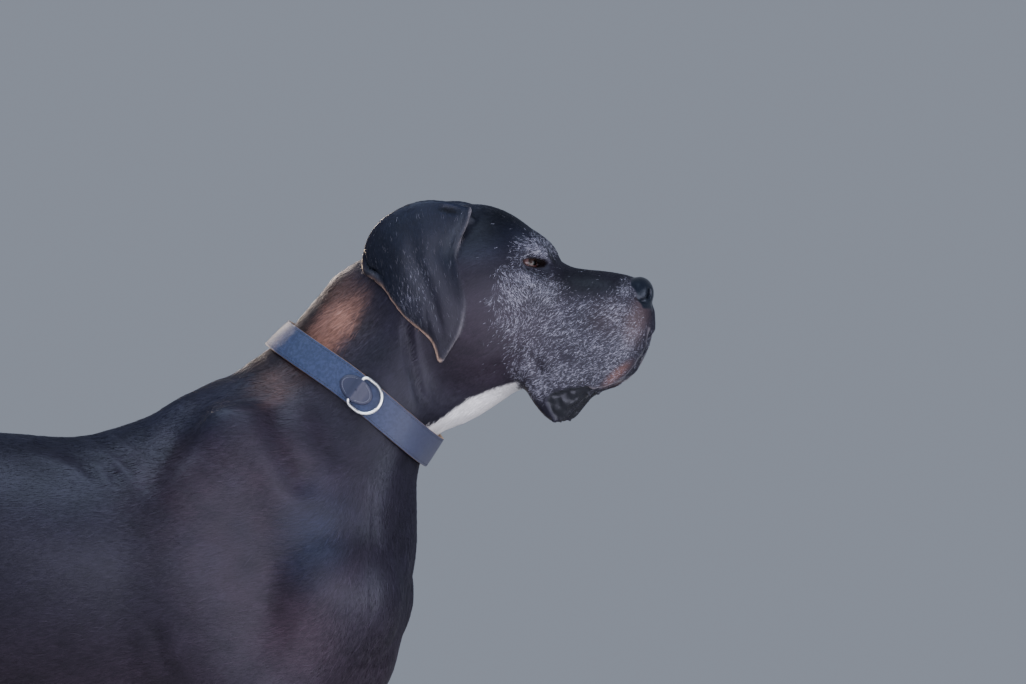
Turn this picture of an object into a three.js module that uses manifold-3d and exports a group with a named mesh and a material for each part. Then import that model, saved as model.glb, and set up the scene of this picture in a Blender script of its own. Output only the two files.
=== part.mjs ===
// Great dane, standing, life size, with its collar.  Millimetres, +Z up, +X the way it faces, +Y its left.
// The animal is one smooth form: named masses (ribcage, neck, skull, limbs ...) blended into each other,
// meshed, thinned to the triangles its curvature needs, and parted into its body parts by thin cuts.
import * as THREE from 'three';
import { mergeVertices } from 'three/addons/utils/BufferGeometryUtils.js';
import Module from 'manifold-3d';

const wasm = await Module();
wasm.setup();

// ------------------------------------------------------------------ sizes
const COAT_BODY = 3.2;          // depth of the coat over the skin on trunk, neck and legs
const COAT_FACE = 1.6;          // on the face
const COAT_EAR = 1.0;
const GAP = 0.3;                // between neighbouring parts
const HEAD_YAW = -5.0;          // head turned a little to its right, degrees
const HEAD_ROLL = 3.0;          // and tilted
const PIVOT = [250, 0, 950];    // about this point of the nape
const NECK_ANGLE = 48;          // line of the neck above level
const NECK_ORIGIN = [177, 834];
const EYE = { x: 394, y: 33, z: 991.5, r: 12.5, side: 40, up: 4 };   // ball, and where it looks
const LID = { half: 15.5, high: 6.4 };                             // opening between the lids
const EAR_HALF = 2.1;           // half thickness of the ear's leather, without coat
const EAR_BULGE = 9.0;          // how far the middle of the flap stands out
const STRAP = { x: 178, z: 834.5, angle: 52.5, width: 40, thick: 4, bow: 7, clear: 3.0 };
const GRID = { body: 8.5, head: 5.5, across: 6.5 };
const BODY_TRIANGLES = 2800;
const ORIGIN = [-69.65, 0.1];          // centre of the whole outline on the floor

// ------------------------------------------------------- tables of form
const TRUNK = [  // x, top, bottom, level of greatest width, half width, exponents
    [-590, 728, 628, 682, 52, 2.0, 2.0],
    [-540, 764, 575, 684, 86, 2.0, 2.0],
    [-470, 783, 545, 684, 98, 2.1, 2.0],
    [-400, 790, 508, 674, 104, 2.1, 2.0],
    [-320, 790, 458, 650, 120, 2.1, 2.0],
    [-240, 784, 426, 625, 132, 2.0, 2.0],
    [-160, 781, 413, 615, 136, 1.9, 2.0],
    [-80, 804, 414, 612, 132, 1.8, 2.0],
    [0, 836, 422, 612, 122, 1.7, 2.0],
    [60, 822, 434, 615, 114, 1.8, 2.0],
    [130, 780, 458, 615, 98, 1.9, 2.0],
    [190, 700, 500, 610, 66, 2.0, 2.0],
];
const NECK = [  // along the neck, crest side, throat side, level of greatest width, half width, exponents
    [-190, 66, -140, -20, 92, 2.0, 2.0],
    [-150, 100, -160, -20, 100, 1.9, 2.0],
    [-110, 120, -160, -15, 98, 1.8, 2.0],
    [-60, 119, -147, -8, 88, 1.8, 2.0],
    [-10, 111, -114, 0, 78, 1.9, 2.1],
    [30, 111, -108, 2, 74, 2.0, 2.1],
    [65, 112, -124, 2, 71, 2.0, 2.0],
    [90, 112, -133, 0, 69, 2.0, 2.0],
    [117, 107, -138, -5, 66, 2.0, 2.0],
    [150, 92, -136, -10, 60, 2.0, 2.0],
];
const HEAD = [  // x, top, bottom, level of greatest width, half width, exponents
    [168, 958, 900, 935, 16, 2.0, 2.0],
    [200, 998, 890, 950, 42, 2.0, 2.0],
    [230, 1032, 880, 956, 60, 2.0, 2.0],
    [262, 1050, 867, 958, 69, 2.1, 2.0],
    [300, 1061, 853, 955, 73, 2.3, 2.0],
    [340, 1062, 846, 950, 73, 2.4, 2.1],
    [370, 1050, 846, 945, 68, 2.4, 2.1],
    [395, 1031, 850, 935, 60, 2.4, 2.2],
    [413, 1010, 852, 928, 53, 2.5, 2.3],
    [426, 996, 853, 922, 49.5, 2.6, 2.4],
    [441, 987, 853, 918, 47.5, 2.7, 2.4],
    [460, 983, 853, 915, 46.5, 2.9, 2.4],
    [480, 981, 855, 912, 46, 2.9, 2.4],
    [500, 978, 862, 912, 45, 2.8, 2.4],
    [518, 973, 880, 915, 40, 2.6, 2.3],
    [534, 962, 900, 920, 28, 2.2, 2.2],
];
const FLEW = [  // x, top, bottom, level, half thickness, exponents, y of its middle
    [380, 884, 852, 864, 11, 2, 2, 32],
    [392, 900, 838, 862, 14, 2, 2.2, 35],
    [404, 908, 820, 862, 15, 2, 2.3, 36],
    [416, 914, 806, 862, 15, 2, 2.2, 36],
    [428, 920, 800, 862, 15, 2, 2.1, 36],
    [440, 924, 802, 864, 15, 2, 2.2, 36],
    [450, 926, 813, 866, 15, 2, 2.3, 36],
    [462, 928, 827, 870, 15, 2, 2.4, 35],
    [480, 930, 833, 876, 15, 2, 2.4, 34],
    [500, 932, 841, 884, 15, 2, 2.4, 31],
    [515, 934, 856, 892, 15, 2, 2.3, 26],
    [527, 936, 875, 903, 15, 2, 2.2, 18],
    [536, 938, 893, 913, 13, 2, 2.0, 12],
    [542, 938, 906, 920, 9, 2, 2.0, 7],
];
const TOES = [
  { across: -31, knuckle: 26, tip: 48, thick: 0.92 },
  { across: -11, knuckle: 36, tip: 66, thick: 1.0 },
  { across: 11, knuckle: 36, tip: 66, thick: 1.0 },
  { across: 31, knuckle: 26, tip: 48, thick: 0.92 },
];
const FORE_PAW = { x: 88, y: 85, size: 1 }, HIND_PAW = { x: -588, y: 85, size: 0.92 };
// Four toes and the pad of a paw.
function toes({ x, y, size: s }) {
  const out = [];
  for (const { across, knuckle, tip, thick } of TOES) {
    const y0 = y + across * 0.82 * s, y1 = y + across * s;
    out.push(['cone', 7, [x - 12, y0, 44 * s], 17 * s * thick, [x + knuckle * s, y1, 35 * s], 16.5 * s * thick, 1]);
    out.push(['cone', 5, [x + knuckle * s, y1, 34 * s], 16 * s * thick, [x + tip * s - 12, y1, 17 * s], 15 * s * thick, 1]);
    out.push(['ell', 4, [x + (tip - 16) * s, y1, 9 * s], [17 * s, 12 * s * thick, 11 * s], [0, 0, 0]]);
  }
  out.push(['ell', 8, [x + 2 * s, y, 13 * s], [27 * s, 27 * s, 15 * s], [0, 0, 0]]);
  return out;
}
// Masses: how softly each blends into what is before it, then its place and size.
// cone: end, radius, end, radius, thinning; ell: centre, half sizes, turns; tube: rows of place, radius, thinning; loft: origin, angle, sections.
const BODY = [
    ['loft', 0, [0, 0], 0, TRUNK, false, 60],
    // forechest and breast
    ['ell', 60, [119, 0, 598], [116, 92, 166], [8, 0, 0]],
    ['ell', 26, [168, 38, 575], [56, 42, 100], [6, 0, 0]],
    ['cone', 40, [166, 30, 492], 38, [10, 30, 474], 44, 1],
    ['ell', 26, [206, 16, 648], [38, 36, 50], [12, 0, 0]],
    // withers, shoulder blade, upper arm
    ['ell', 26, [-4, 20, 802], [62, 22, 32], [20, 0, 0]],
    ['ell', 64, [100, 76, 700], [60, 32, 138], [37, 0, -10]],
    ['ell', 60, [170, 80, 596], [50, 36, 50], [0, 0, 0]],
    ['tube', 50, [[160, 86, 580, 52, 0.8], [110, 92, 500, 52, 0.8], [66, 94, 440, 46, 0.84]]],
    ['tube', 50, [[-10, 84, 690, 50, 0.7], [0, 90, 600, 62, 0.66], [14, 92, 510, 54, 0.66], [22, 92, 448, 36, 0.72]]],
    ['ell', 16, [9, 92, 442], [20, 16, 26], [0, 0, 0]],
    // forearm, wrist, pastern
    ['tube', 26, [[60, 92, 450, 46, 0.82], [54, 91, 400, 47, 0.84], [52, 89, 350, 41, 0.84], [54, 87, 290, 33, 0.88], [59, 86, 230, 28, 0.92], [62, 85, 188, 29, 0.96], [63, 85, 156, 29, 0.96], [66, 85, 124, 25.5, 1], [72, 85, 92, 25, 1], [80, 85, 64, 27, 1]]],
    ['ell', 10, [38, 86, 158], [12, 10, 17], [0, 0, 0]],
    ['cone', 6, [60, 62, 150], 8, [68, 59, 124], 9, 1],
    ['ell', 14, [94, 85, 42], [38, 35, 29], [-10, 0, 0]],
  ...toes(FORE_PAW),
    // croup and hip
    ['ell', 36, [-428, 58, 750], [46, 26, 28], [0, 0, 0]],
    ['ell', 34, [-590, 44, 690], [34, 34, 44], [0, 0, 0]],
    // thigh, hamstrings, knee
    ['tube', 50, [[-500, 66, 668, 84, 0.56], [-486, 80, 610, 96, 0.56], [-458, 92, 540, 88, 0.56], [-424, 97, 470, 62, 0.62]]],
    ['tube', 40, [[-568, 66, 670, 48, 0.8], [-566, 78, 590, 52, 0.72], [-546, 86, 500, 46, 0.68], [-512, 90, 424, 36, 0.66]]],
    ['tube', 26, [[-420, 95, 490, 52, 0.72], [-405, 97, 448, 47, 0.74], [-412, 96, 414, 44, 0.74]]],
    ['cone', 34, [-330, 66, 548], 26, [-392, 90, 484], 34, 0.7],
    // second thigh, heel string, hock
    ['tube', 30, [[-424, 95, 440, 54, 0.68], [-462, 93, 388, 54, 0.66], [-512, 90, 330, 42, 0.68], [-562, 87, 275, 30, 0.74], [-594, 85, 236, 27, 0.84], [-601, 85, 200, 25, 0.9], [-602, 85, 150, 22, 1], [-600, 85, 104, 21, 1], [-596, 85, 70, 24, 1]]],
    ['tube', 24, [[-508, 88, 420, 34, 0.62], [-560, 88, 340, 20, 0.6], [-614, 86, 276, 11, 0.8], [-630, 85, 256, 13, 0.9], [-624, 85, 226, 14, 0.9], [-614, 85, 200, 14, 0.9]]],
    ['ell', 14, [-580, 85, 38], [36, 32, 27], [-10, 0, 0]],
  ...toes(HIND_PAW),
    // tail
    ['tube', 24, [[-560, 0, 724, 36, 1], [-606, 0, 700, 30, 1], [-634, 0, 640, 25, 1], [-646, 0, 560, 20.5, 1], [-652, 0, 470, 17, 1], [-652, 0, 380, 13.5, 1], [-656, 0, 300, 10.5, 1], [-668, 0, 242, 7.5, 1]]],
    // neck
    ['loft', 46, [177, 834], 48, NECK, false, 40],
    ['tube', 40, [[262, 40, 905, 32, 0.9], [215, 52, 800, 38, 0.8], [168, 62, 690, 48, 0.8]]],
    // head
    ['loft', 34, [0, 0], 0, HEAD, false, 14],
    ['ell', 15, [399.5, 28.5, 1008], [25, 18, 15], [-40, 0, 0]],      // brow
    ['ell', 40, [345, 52, 958], [64, 18, 26], [6, 0, 0]],         // cheek arch
    ['ell', 36, [320, 48, 905], [48, 24, 44], [0, 0, 0]],         // jaw muscle
    ['tube', 16, [[330, 16, 868, 26, 1], [400, 15, 868, 24, 1], [470, 13, 868, 22, 1], [508, 9, 870, 19, 1]]],      // lower jaw
    ['loft', 16, [0, 0], 0, FLEW, true, 6],
    ['ell', 5, [527, 0, 954], [17, 23, 20], [0, 0, 0]],         // nose pad
    ['ell', 14, [282, 50, 1038], [42, 14, 20], [14, 0, 0]],       // root of the ear
    ['ell', 10, [528, 0, 916], [13, 16, 26], [0, 0, 0]],           // front of the upper lip
    ['cut', 10, ['ell', 0, [411, 54, 990], [17, 15, 11], [-10, 0, 0]]],   // hollow of the eye
    ['ell', 4, [394, 33, 991.5], [15, 15, 15], [0, 0, 0]],    // lids
];
const EAR_TOP = [[330, 60, 1058], [316, 66, 1061], [294, 70, 1066.5], [268, 71, 1065.5], [243.5, 69, 1056.5], [221, 66, 1042.5], [206.5, 63, 1024.5], [200, 60, 1007], [198, 58, 995]];   // the crest it folds over, front to rear
const EAR_FRONT = [[330, 60, 1058], [326, 66, 1042], [319, 71, 1025], [313, 74, 1010], [312, 76, 997], [316, 78, 982], [322, 80, 963], [325, 82, 947], [323, 83.5, 932], [319, 84.5, 913], [312, 85, 898], [303, 85, 884], [297, 85, 875]];   // front edge of the flap, crest to tip
const EAR_REAR = [[198, 58, 995], [201, 64, 982], [214, 70, 975], [228, 76, 961], [239, 80, 945.5], [252, 84, 929], [264, 86, 919], [278, 87, 908], [287, 87, 897], [291, 86, 884], [292, 85.5, 875]];   // rear edge, crest to tip
const EAR_FOLD = 8.0;           // width of the fold at the crest
const STANCE = { foreLeft: -34.0, foreRight: 14.0, hindLeft: 12.0, hindRight: -26.0 };   // feet ahead of square
// Where the parts divide: blocks are x, x, y, y, z, z.
const CUT = {
  head: [262, 915, 32.6, 240, 320],
  neck: [140, 792, 63.4, 340, 340],
  tail: [-760, -600, -34, 34, 150, 650],
  nose: [524, 570, -44, 44, 936, 1000],
  fore: [[-58, 330, 40, 260, -60, 425], [-58, 330, 58, 260, -60, 620]],
  hind: [[-760, -338, 34, 260, -60, 600], [-760, -338, 52, 260, -60, 655]],
  forePaw: [-80, 280, 25, 160, 71.85, 72.15],
  hindPaw: [-720, -470, 25, 160, 65.85, 66.15],
};
const PARTS = {   // where the middle of each part is found
  nose: [515, 600, -90, 40, 925, 1000],
  head: [300, 515, -90, 60, 800, 1060],
  neck: [60, 300, -60, 60, 740, 1000],
  trunk: [-450, 130, -60, 60, 480, 790],
  tail: [-740, -600, -34, 34, 150, 650],
  foreleg_left: [-58, 330, 40, 260, 73, 620],
  foreleg_right: [-58, 330, -260, -40, 73, 620],
  hindleg_left: [-760, -338, 34, 260, 67, 655],
  hindleg_right: [-760, -338, -260, -34, 67, 655],
  paw_fore_left: [-80, 280, 25, 160, 0, 71],
  paw_fore_right: [-80, 280, -160, -25, 0, 71],
  paw_hind_left: [-720, -470, 25, 160, 0, 65],
  paw_hind_right: [-720, -470, -160, -25, 0, 65],
};


// ------------------------------------------------------------------ forms
const rad = Math.PI / 180;
const clamp = (v, a, b) => Math.min(b, Math.max(a, v));
const smooth = (t) => { t = clamp(t, 0, 1); return t * t * (3 - 2 * t); };
const smin = (a, b, k) => { if (k <= 0) return Math.min(a, b); const h = Math.max(k - Math.abs(a - b), 0) / k; return Math.min(a, b) - h * h * k / 4; };
const smax = (a, b, k) => { const h = Math.max(k - Math.abs(a - b), 0) / k; return Math.max(a, b) + h * h * k / 4; };

// Round cone from a to b; fy thins it across.
function cone(a, ra, b, rb, fy) {
  const vx = b[0] - a[0], vy = b[1] - a[1], vz = b[2] - a[2];
  const l2 = vx * vx + vy * vy + vz * vz, rr = ra - rb, a2 = l2 - rr * rr, il2 = 1 / l2;
  const h2 = vx * vx + vz * vz + 1e-9;
  return (x, y, z) => {
    let qx = x - a[0], qy = y - a[1], qz = z - a[2];
    if (fy !== 1) {
      const s = clamp((qx * vx + qz * vz) / h2, 0, 1), yc = vy * s;
      qy = yc + (qy - yc) / fy;
    }
    const w = qx * vx + qy * vy + qz * vz, zz = w - l2;
    const px = qx * l2 - w * vx, py = qy * l2 - w * vy, pz = qz * l2 - w * vz;
    const x2 = px * px + py * py + pz * pz, y2 = w * w * l2, z2 = zz * zz * l2;
    const k = Math.sign(rr) * rr * rr * x2;
    let d;
    if (Math.sign(zz) * a2 * z2 > k) d = Math.sqrt(x2 + z2) * il2 - rb;
    else if (Math.sign(w) * a2 * y2 < k) d = Math.sqrt(x2 + y2) * il2 - ra;
    else d = (Math.sqrt(x2 * a2 * il2) + w * rr) * il2 - ra;
    return fy === 1 ? d : d * (fy + (1 - fy) * 0.5);
  };
}

function axes([pitch, yaw, roll]) {
  const cp = Math.cos(pitch * rad), sp = Math.sin(pitch * rad), cy = Math.cos(yaw * rad), sy = Math.sin(yaw * rad), cr = Math.cos(roll * rad), sr = Math.sin(roll * rad);
  const Ry = [[cp, 0, -sp], [0, 1, 0], [sp, 0, cp]], Rz = [[cy, -sy, 0], [sy, cy, 0], [0, 0, 1]], Rx = [[1, 0, 0], [0, cr, -sr], [0, sr, cr]];
  const mul = (A, B) => A.map((r) => [0, 1, 2].map((j) => r[0] * B[0][j] + r[1] * B[1][j] + r[2] * B[2][j]));
  return mul(mul(Rz, Ry), Rx);
}

function ellipsoid(c, r, turn) {
  const R = axes(turn);
  return (x, y, z) => {
    const qx = x - c[0], qy = y - c[1], qz = z - c[2];
    const u = (qx * R[0][0] + qy * R[1][0] + qz * R[2][0]) / r[0];
    const v = (qx * R[0][1] + qy * R[1][1] + qz * R[2][1]) / r[1];
    const w = (qx * R[0][2] + qy * R[1][2] + qz * R[2][2]) / r[2];
    const k0 = Math.sqrt(u * u + v * v + w * w);
    const k1 = Math.sqrt((u / r[0]) ** 2 + (v / r[1]) ** 2 + (w / r[2]) ** 2) + 1e-12;
    return k0 * (k0 - 1) / k1;
  };
}

// Smooth curves through the rows of a table.
function table(rows) {
  const n = rows.length, m = rows[0].length - 1, M = [];
  const slope = [];
  for (let i = 0; i + 1 < n; i++) slope.push(Array.from({ length: m }, (_, j) => (rows[i + 1][j + 1] - rows[i][j + 1]) / (rows[i + 1][0] - rows[i][0])));
  for (let i = 0; i < n; i++) {
    if (i === 0) M.push(slope[0]);
    else if (i === n - 1) M.push(slope[n - 2]);
    else {
      const h0 = rows[i][0] - rows[i - 1][0], h1 = rows[i + 1][0] - rows[i][0];
      M.push(slope[i].map((_, j) => (slope[i - 1][j] * h1 + slope[i][j] * h0) / (h0 + h1)));
    }
  }
  const out = new Float64Array(m);
  return (t) => {
    t = clamp(t, rows[0][0], rows[n - 1][0]);
    let i = 0;
    while (i < n - 2 && t >= rows[i + 1][0]) i++;
    const h = rows[i + 1][0] - rows[i][0], s = (t - rows[i][0]) / h;
    const a = (1 + 2 * s) * (1 - s) ** 2, b = s * (1 - s) ** 2 * h, c = s * s * (3 - 2 * s), d = s * s * (s - 1) * h;
    for (let j = 0; j < m; j++) out[j] = a * rows[i][j + 1] + b * M[i][j] + c * rows[i + 1][j + 1] + d * M[i + 1][j];
    return out;
  };
}

// Cross-sections strung along a line that leaves o at an angle above level.
function loft(o, angle, rows, offset, end) {
  const ca = Math.cos(angle * rad), sa = Math.sin(angle * rad), at = table(rows), t0 = rows[0][0], t1 = rows[rows.length - 1][0];
  return (x, y, z) => {
    const dx = x - o[0], dz = z - o[1], t = ca * dx + sa * dz, s = -sa * dx + ca * dz;
    const v = at(t), yy = offset ? y - v[6] : y, up = s > v[2];
    const h = Math.max(up ? v[0] - v[2] : v[2] - v[1], 1), n = up ? v[4] : v[5], w = v[3];
    const a = Math.abs(yy) / w + 1e-6, b = Math.abs(s - v[2]) / h + 1e-6, an = a ** n, bn = b ** n, q = (an + bn) ** (1 / n);
    const g = q ** (1 - n) * Math.sqrt((an / a / w) ** 2 + (bn / b / h) ** 2), d = (q - 1) / g, e = Math.max(t0 - t, t - t1);
    const hh = Math.max(end - Math.abs(d - e), 0) / end;
    return Math.max(d, e) + hh * hh * end / 4;
  };
}

function spline(rows, n) {
  const Q = [rows[0].map((v, i) => 2 * v - rows[1][i]), ...rows, rows[rows.length - 1].map((v, i) => 2 * v - rows[rows.length - 2][i])], out = [];
  for (let i = 1; i < Q.length - 2; i++)
    for (let j = 0; j < n; j++) {
      const t = j / n;
      out.push(Q[i].map((_, c) => 0.5 * (2 * Q[i][c] + (Q[i + 1][c] - Q[i - 1][c]) * t + (2 * Q[i - 1][c] - 5 * Q[i][c] + 4 * Q[i + 1][c] - Q[i + 2][c]) * t * t + (3 * Q[i][c] - Q[i - 1][c] - 3 * Q[i + 1][c] + Q[i + 2][c]) * t ** 3)));
    }
  out.push(rows[rows.length - 1]);
  return out;
}

// Swept round mass; rows: x, y, z, radius, thinning across.
function tube(rows) {
  const S = spline(rows, 4);
  return (x, y, z) => {
    let best = 1e9;
    for (let i = 0; i + 1 < S.length; i++) {
      const a = S[i], b = S[i + 1], vx = b[0] - a[0], vy = b[1] - a[1], vz = b[2] - a[2];
      const t = clamp(((x - a[0]) * vx + (y - a[1]) * vy + (z - a[2]) * vz) / (vx * vx + vy * vy + vz * vz), 0, 1);
      const f = a[4] + t * (b[4] - a[4]), dx = x - a[0] - t * vx, dy = (y - a[1] - t * vy) / f, dz = z - a[2] - t * vz;
      const n2 = dx * dx + dz * dz, m = Math.sqrt(n2 + dy * dy);
      const e = (m - a[3] - t * (b[3] - a[3])) * (m + 1e-6) / Math.sqrt(n2 + dy * dy / (f * f) + 1e-9);
      if (e < best) best = e;
    }
    return best;
  };
}

function form(m) {
  if (m[0] === 'cone') return cone(m[2], m[3], m[4], m[5], m[6]);
  if (m[0] === 'ell') return ellipsoid(m[2], m[3], m[4]);
  if (m[0] === 'tube') return tube(m[2]);
  return loft(m[2], m[3], m[4], m[5], m[6]);
}

function reach(m) {
  if (m[0] === 'cut') return reach(m[2]);
  if (m[0] === 'tube') return [[0, 1, 2].map((i) => Math.min(...m[2].map((r) => r[i] - r[3])) - 3), [0, 1, 2].map((i) => Math.max(...m[2].map((r) => r[i] + r[3])) + 3)];
  if (m[0] === 'cone') {
    const r = Math.max(m[3], m[5]);
    return [[0, 1, 2].map((i) => Math.min(m[2][i], m[4][i]) - r), [0, 1, 2].map((i) => Math.max(m[2][i], m[4][i]) + r)];
  }
  if (m[0] === 'ell') {
    const R = axes(m[4]), e = [0, 1, 2].map((i) => Math.hypot(R[i][0] * m[3][0], R[i][1] * m[3][1], R[i][2] * m[3][2]));
    return [[0, 1, 2].map((i) => m[2][i] - e[i]), [0, 1, 2].map((i) => m[2][i] + e[i])];
  }
  const ca = Math.cos(m[3] * rad), sa = Math.sin(m[3] * rad), X = [], Z = [];
  let W = 0;
  for (const r of m[4]) {
    for (const s of [r[1], r[2]]) { X.push(m[2][0] + ca * r[0] - sa * s); Z.push(m[2][1] + sa * r[0] + ca * s); }
    W = Math.max(W, r[4] + (m[5] ? r[7] : 0));
  }
  return [[Math.min(...X) - 2, -W - 2, Math.min(...Z) - 2], [Math.max(...X) + 2, W + 2, Math.max(...Z) + 2]];
}

const MASSES = BODY.map((m) => ({ k: m[1], cut: m[0] === 'cut', d: form(m[0] === 'cut' ? m[2] : m), box: reach(m) }));
const BAND = 26;

// Distance to the dog as it would stand square and look straight ahead.
function square(x, y, z) {
  y = Math.abs(y);
  let d = 1e3;
  for (const m of MASSES) {
    const g = m.k + BAND, [lo, hi] = m.box;
    if (x < lo[0] - g || x > hi[0] + g || y < lo[1] - g || y > hi[1] + g || z < lo[2] - g || z > hi[2] + g) continue;
    d = m.cut ? smax(d, -m.d(x, y, z), m.k) : smin(d, m.d(x, y, z), m.k);
  }
  return d;
}

// ------------------------------------------------------------------- pose
const NA = [Math.cos(NECK_ANGLE * rad), Math.sin(NECK_ANGLE * rad)];
function unpose(x, y, z) {
  const w = smooth(((x - NECK_ORIGIN[0]) * NA[0] + (z - NECK_ORIGIN[1]) * NA[1] - 35) / 90);
  let qx = x - PIVOT[0], qy = y, qz = z - PIVOT[2];
  const a = -HEAD_YAW * rad * w, b = -HEAD_ROLL * rad * w;
  [qx, qy] = [qx * Math.cos(a) - qy * Math.sin(a), qx * Math.sin(a) + qy * Math.cos(a)];
  [qy, qz] = [qy * Math.cos(b) - qz * Math.sin(b), qy * Math.sin(b) + qz * Math.cos(b)];
  qx += PIVOT[0]; qz += PIVOT[2];
  const low = smooth((560 - qz) / 520), fore = smooth((qx + 250) / 120), left = smooth((qy + 25) / 50);
  qx -= low * (fore * (left * STANCE.foreLeft + (1 - left) * STANCE.foreRight) + (1 - fore) * (left * STANCE.hindLeft + (1 - left) * STANCE.hindRight));
  return [qx, qy, qz];
}
function pose(q) {
  let p = [...q];
  for (let i = 0; i < 12; i++) { const u = unpose(...p); p = p.map((v, j) => v + q[j] - u[j]); }
  return p;
}
function coatDepth(x, y, z) {
  const face = smooth((x - 250) / 130) * smooth((z - 760) / 60);
  return COAT_BODY + (COAT_FACE - COAT_BODY) * face;
}
function field(x, y, z) {
  const [a, b, c] = unpose(x, y, z);
  return square(a, b, c) - coatDepth(x, y, z);
}

// ------------------------------------------------- meshing and thinning
function graded(spec) {
  const out = [spec[0][0]];
  for (let i = 0; i + 1 < spec.length; i++) {
    const [s, h] = spec[i], e = spec[i + 1][0], n = Math.max(1, Math.round((e - s) / h));
    for (let j = 1; j <= n; j++) out.push(s + (e - s) * j / n);
  }
  return out;
}

// Surface nets: one vertex in each cell the surface crosses.
function nets(f, ax) {
  const [X, Y, Z] = ax, nx = X.length, ny = Y.length, nz = Z.length, V = new Float32Array(nx * ny * nz);
  const id = (i, j, k) => (i * ny + j) * nz + k;
  for (let i = 0; i < nx; i++) for (let j = 0; j < ny; j++) for (let k = 0; k < nz; k++) V[id(i, j, k)] = f(X[i], Y[j], Z[k]);
  const cell = new Int32Array(nx * ny * nz).fill(-1), P = [], T = [];
  const C = [[0, 0, 0], [0, 0, 1], [0, 1, 0], [0, 1, 1], [1, 0, 0], [1, 0, 1], [1, 1, 0], [1, 1, 1]];
  const E = [];
  for (let a = 0; a < 8; a++) for (let b = a + 1; b < 8; b++) if (C[a].reduce((s, v, i) => s + (v !== C[b][i]), 0) === 1) E.push([a, b]);
  for (let i = 0; i + 1 < nx; i++) for (let j = 0; j + 1 < ny; j++) for (let k = 0; k + 1 < nz; k++) {
    const v = C.map((c) => V[id(i + c[0], j + c[1], k + c[2])]), neg = v.filter((w) => w < 0).length;
    if (neg === 0 || neg === 8) continue;
    let n = 0, s = [0, 0, 0];
    for (const [a, b] of E) {
      if (v[a] < 0 === v[b] < 0) continue;
      const t = v[a] / (v[a] - v[b]);
      for (let c = 0; c < 3; c++) s[c] += C[a][c] + t * (C[b][c] - C[a][c]);
      n++;
    }
    cell[id(i, j, k)] = P.length;
    P.push([X[i] + (X[i + 1] - X[i]) * s[0] / n, Y[j] + (Y[j + 1] - Y[j]) * s[1] / n, Z[k] + (Z[k + 1] - Z[k]) * s[2] / n]);
  }
  const quad = (a, b, c, d, flip) => {
    if (flip) [b, d] = [d, b];
    const l = (p, q) => Math.hypot(P[p][0] - P[q][0], P[p][1] - P[q][1], P[p][2] - P[q][2]);
    if (l(a, c) < l(b, d)) T.push([a, b, c], [a, c, d]); else T.push([a, b, d], [b, c, d]);
  };
  for (let i = 1; i + 1 < nx; i++) for (let j = 1; j + 1 < ny; j++) for (let k = 1; k + 1 < nz; k++) {
    const v = V[id(i, j, k)] < 0;
    if (v !== V[id(i + 1, j, k)] < 0) quad(cell[id(i, j - 1, k - 1)], cell[id(i, j, k - 1)], cell[id(i, j, k)], cell[id(i, j - 1, k)], !v);
    if (v !== V[id(i, j + 1, k)] < 0) quad(cell[id(i - 1, j, k - 1)], cell[id(i - 1, j, k)], cell[id(i, j, k)], cell[id(i, j, k - 1)], !v);
    if (v !== V[id(i, j, k + 1)] < 0) quad(cell[id(i - 1, j - 1, k)], cell[id(i, j - 1, k)], cell[id(i, j, k)], cell[id(i - 1, j, k)], !v);
  }
  return { P, T };
}

// Pulls the vertices onto the surface.
function settle(f, P, steps) {
  const e = 0.5;
  for (const p of P) for (let s = 0; s < steps; s++) {
    const d = f(...p);
    const g = [f(p[0] + e, p[1], p[2]) - f(p[0] - e, p[1], p[2]), f(p[0], p[1] + e, p[2]) - f(p[0], p[1] - e, p[2]), f(p[0], p[1], p[2] + e) - f(p[0], p[1], p[2] - e)].map((v) => v / (2 * e));
    const g2 = g[0] ** 2 + g[1] ** 2 + g[2] ** 2 + 1e-6, m = Math.min(1, 3 / (Math.abs(d) / Math.sqrt(g2) + 1e-9));
    for (let c = 0; c < 3; c++) p[c] -= d / g2 * g[c] * m;
  }
}

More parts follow.
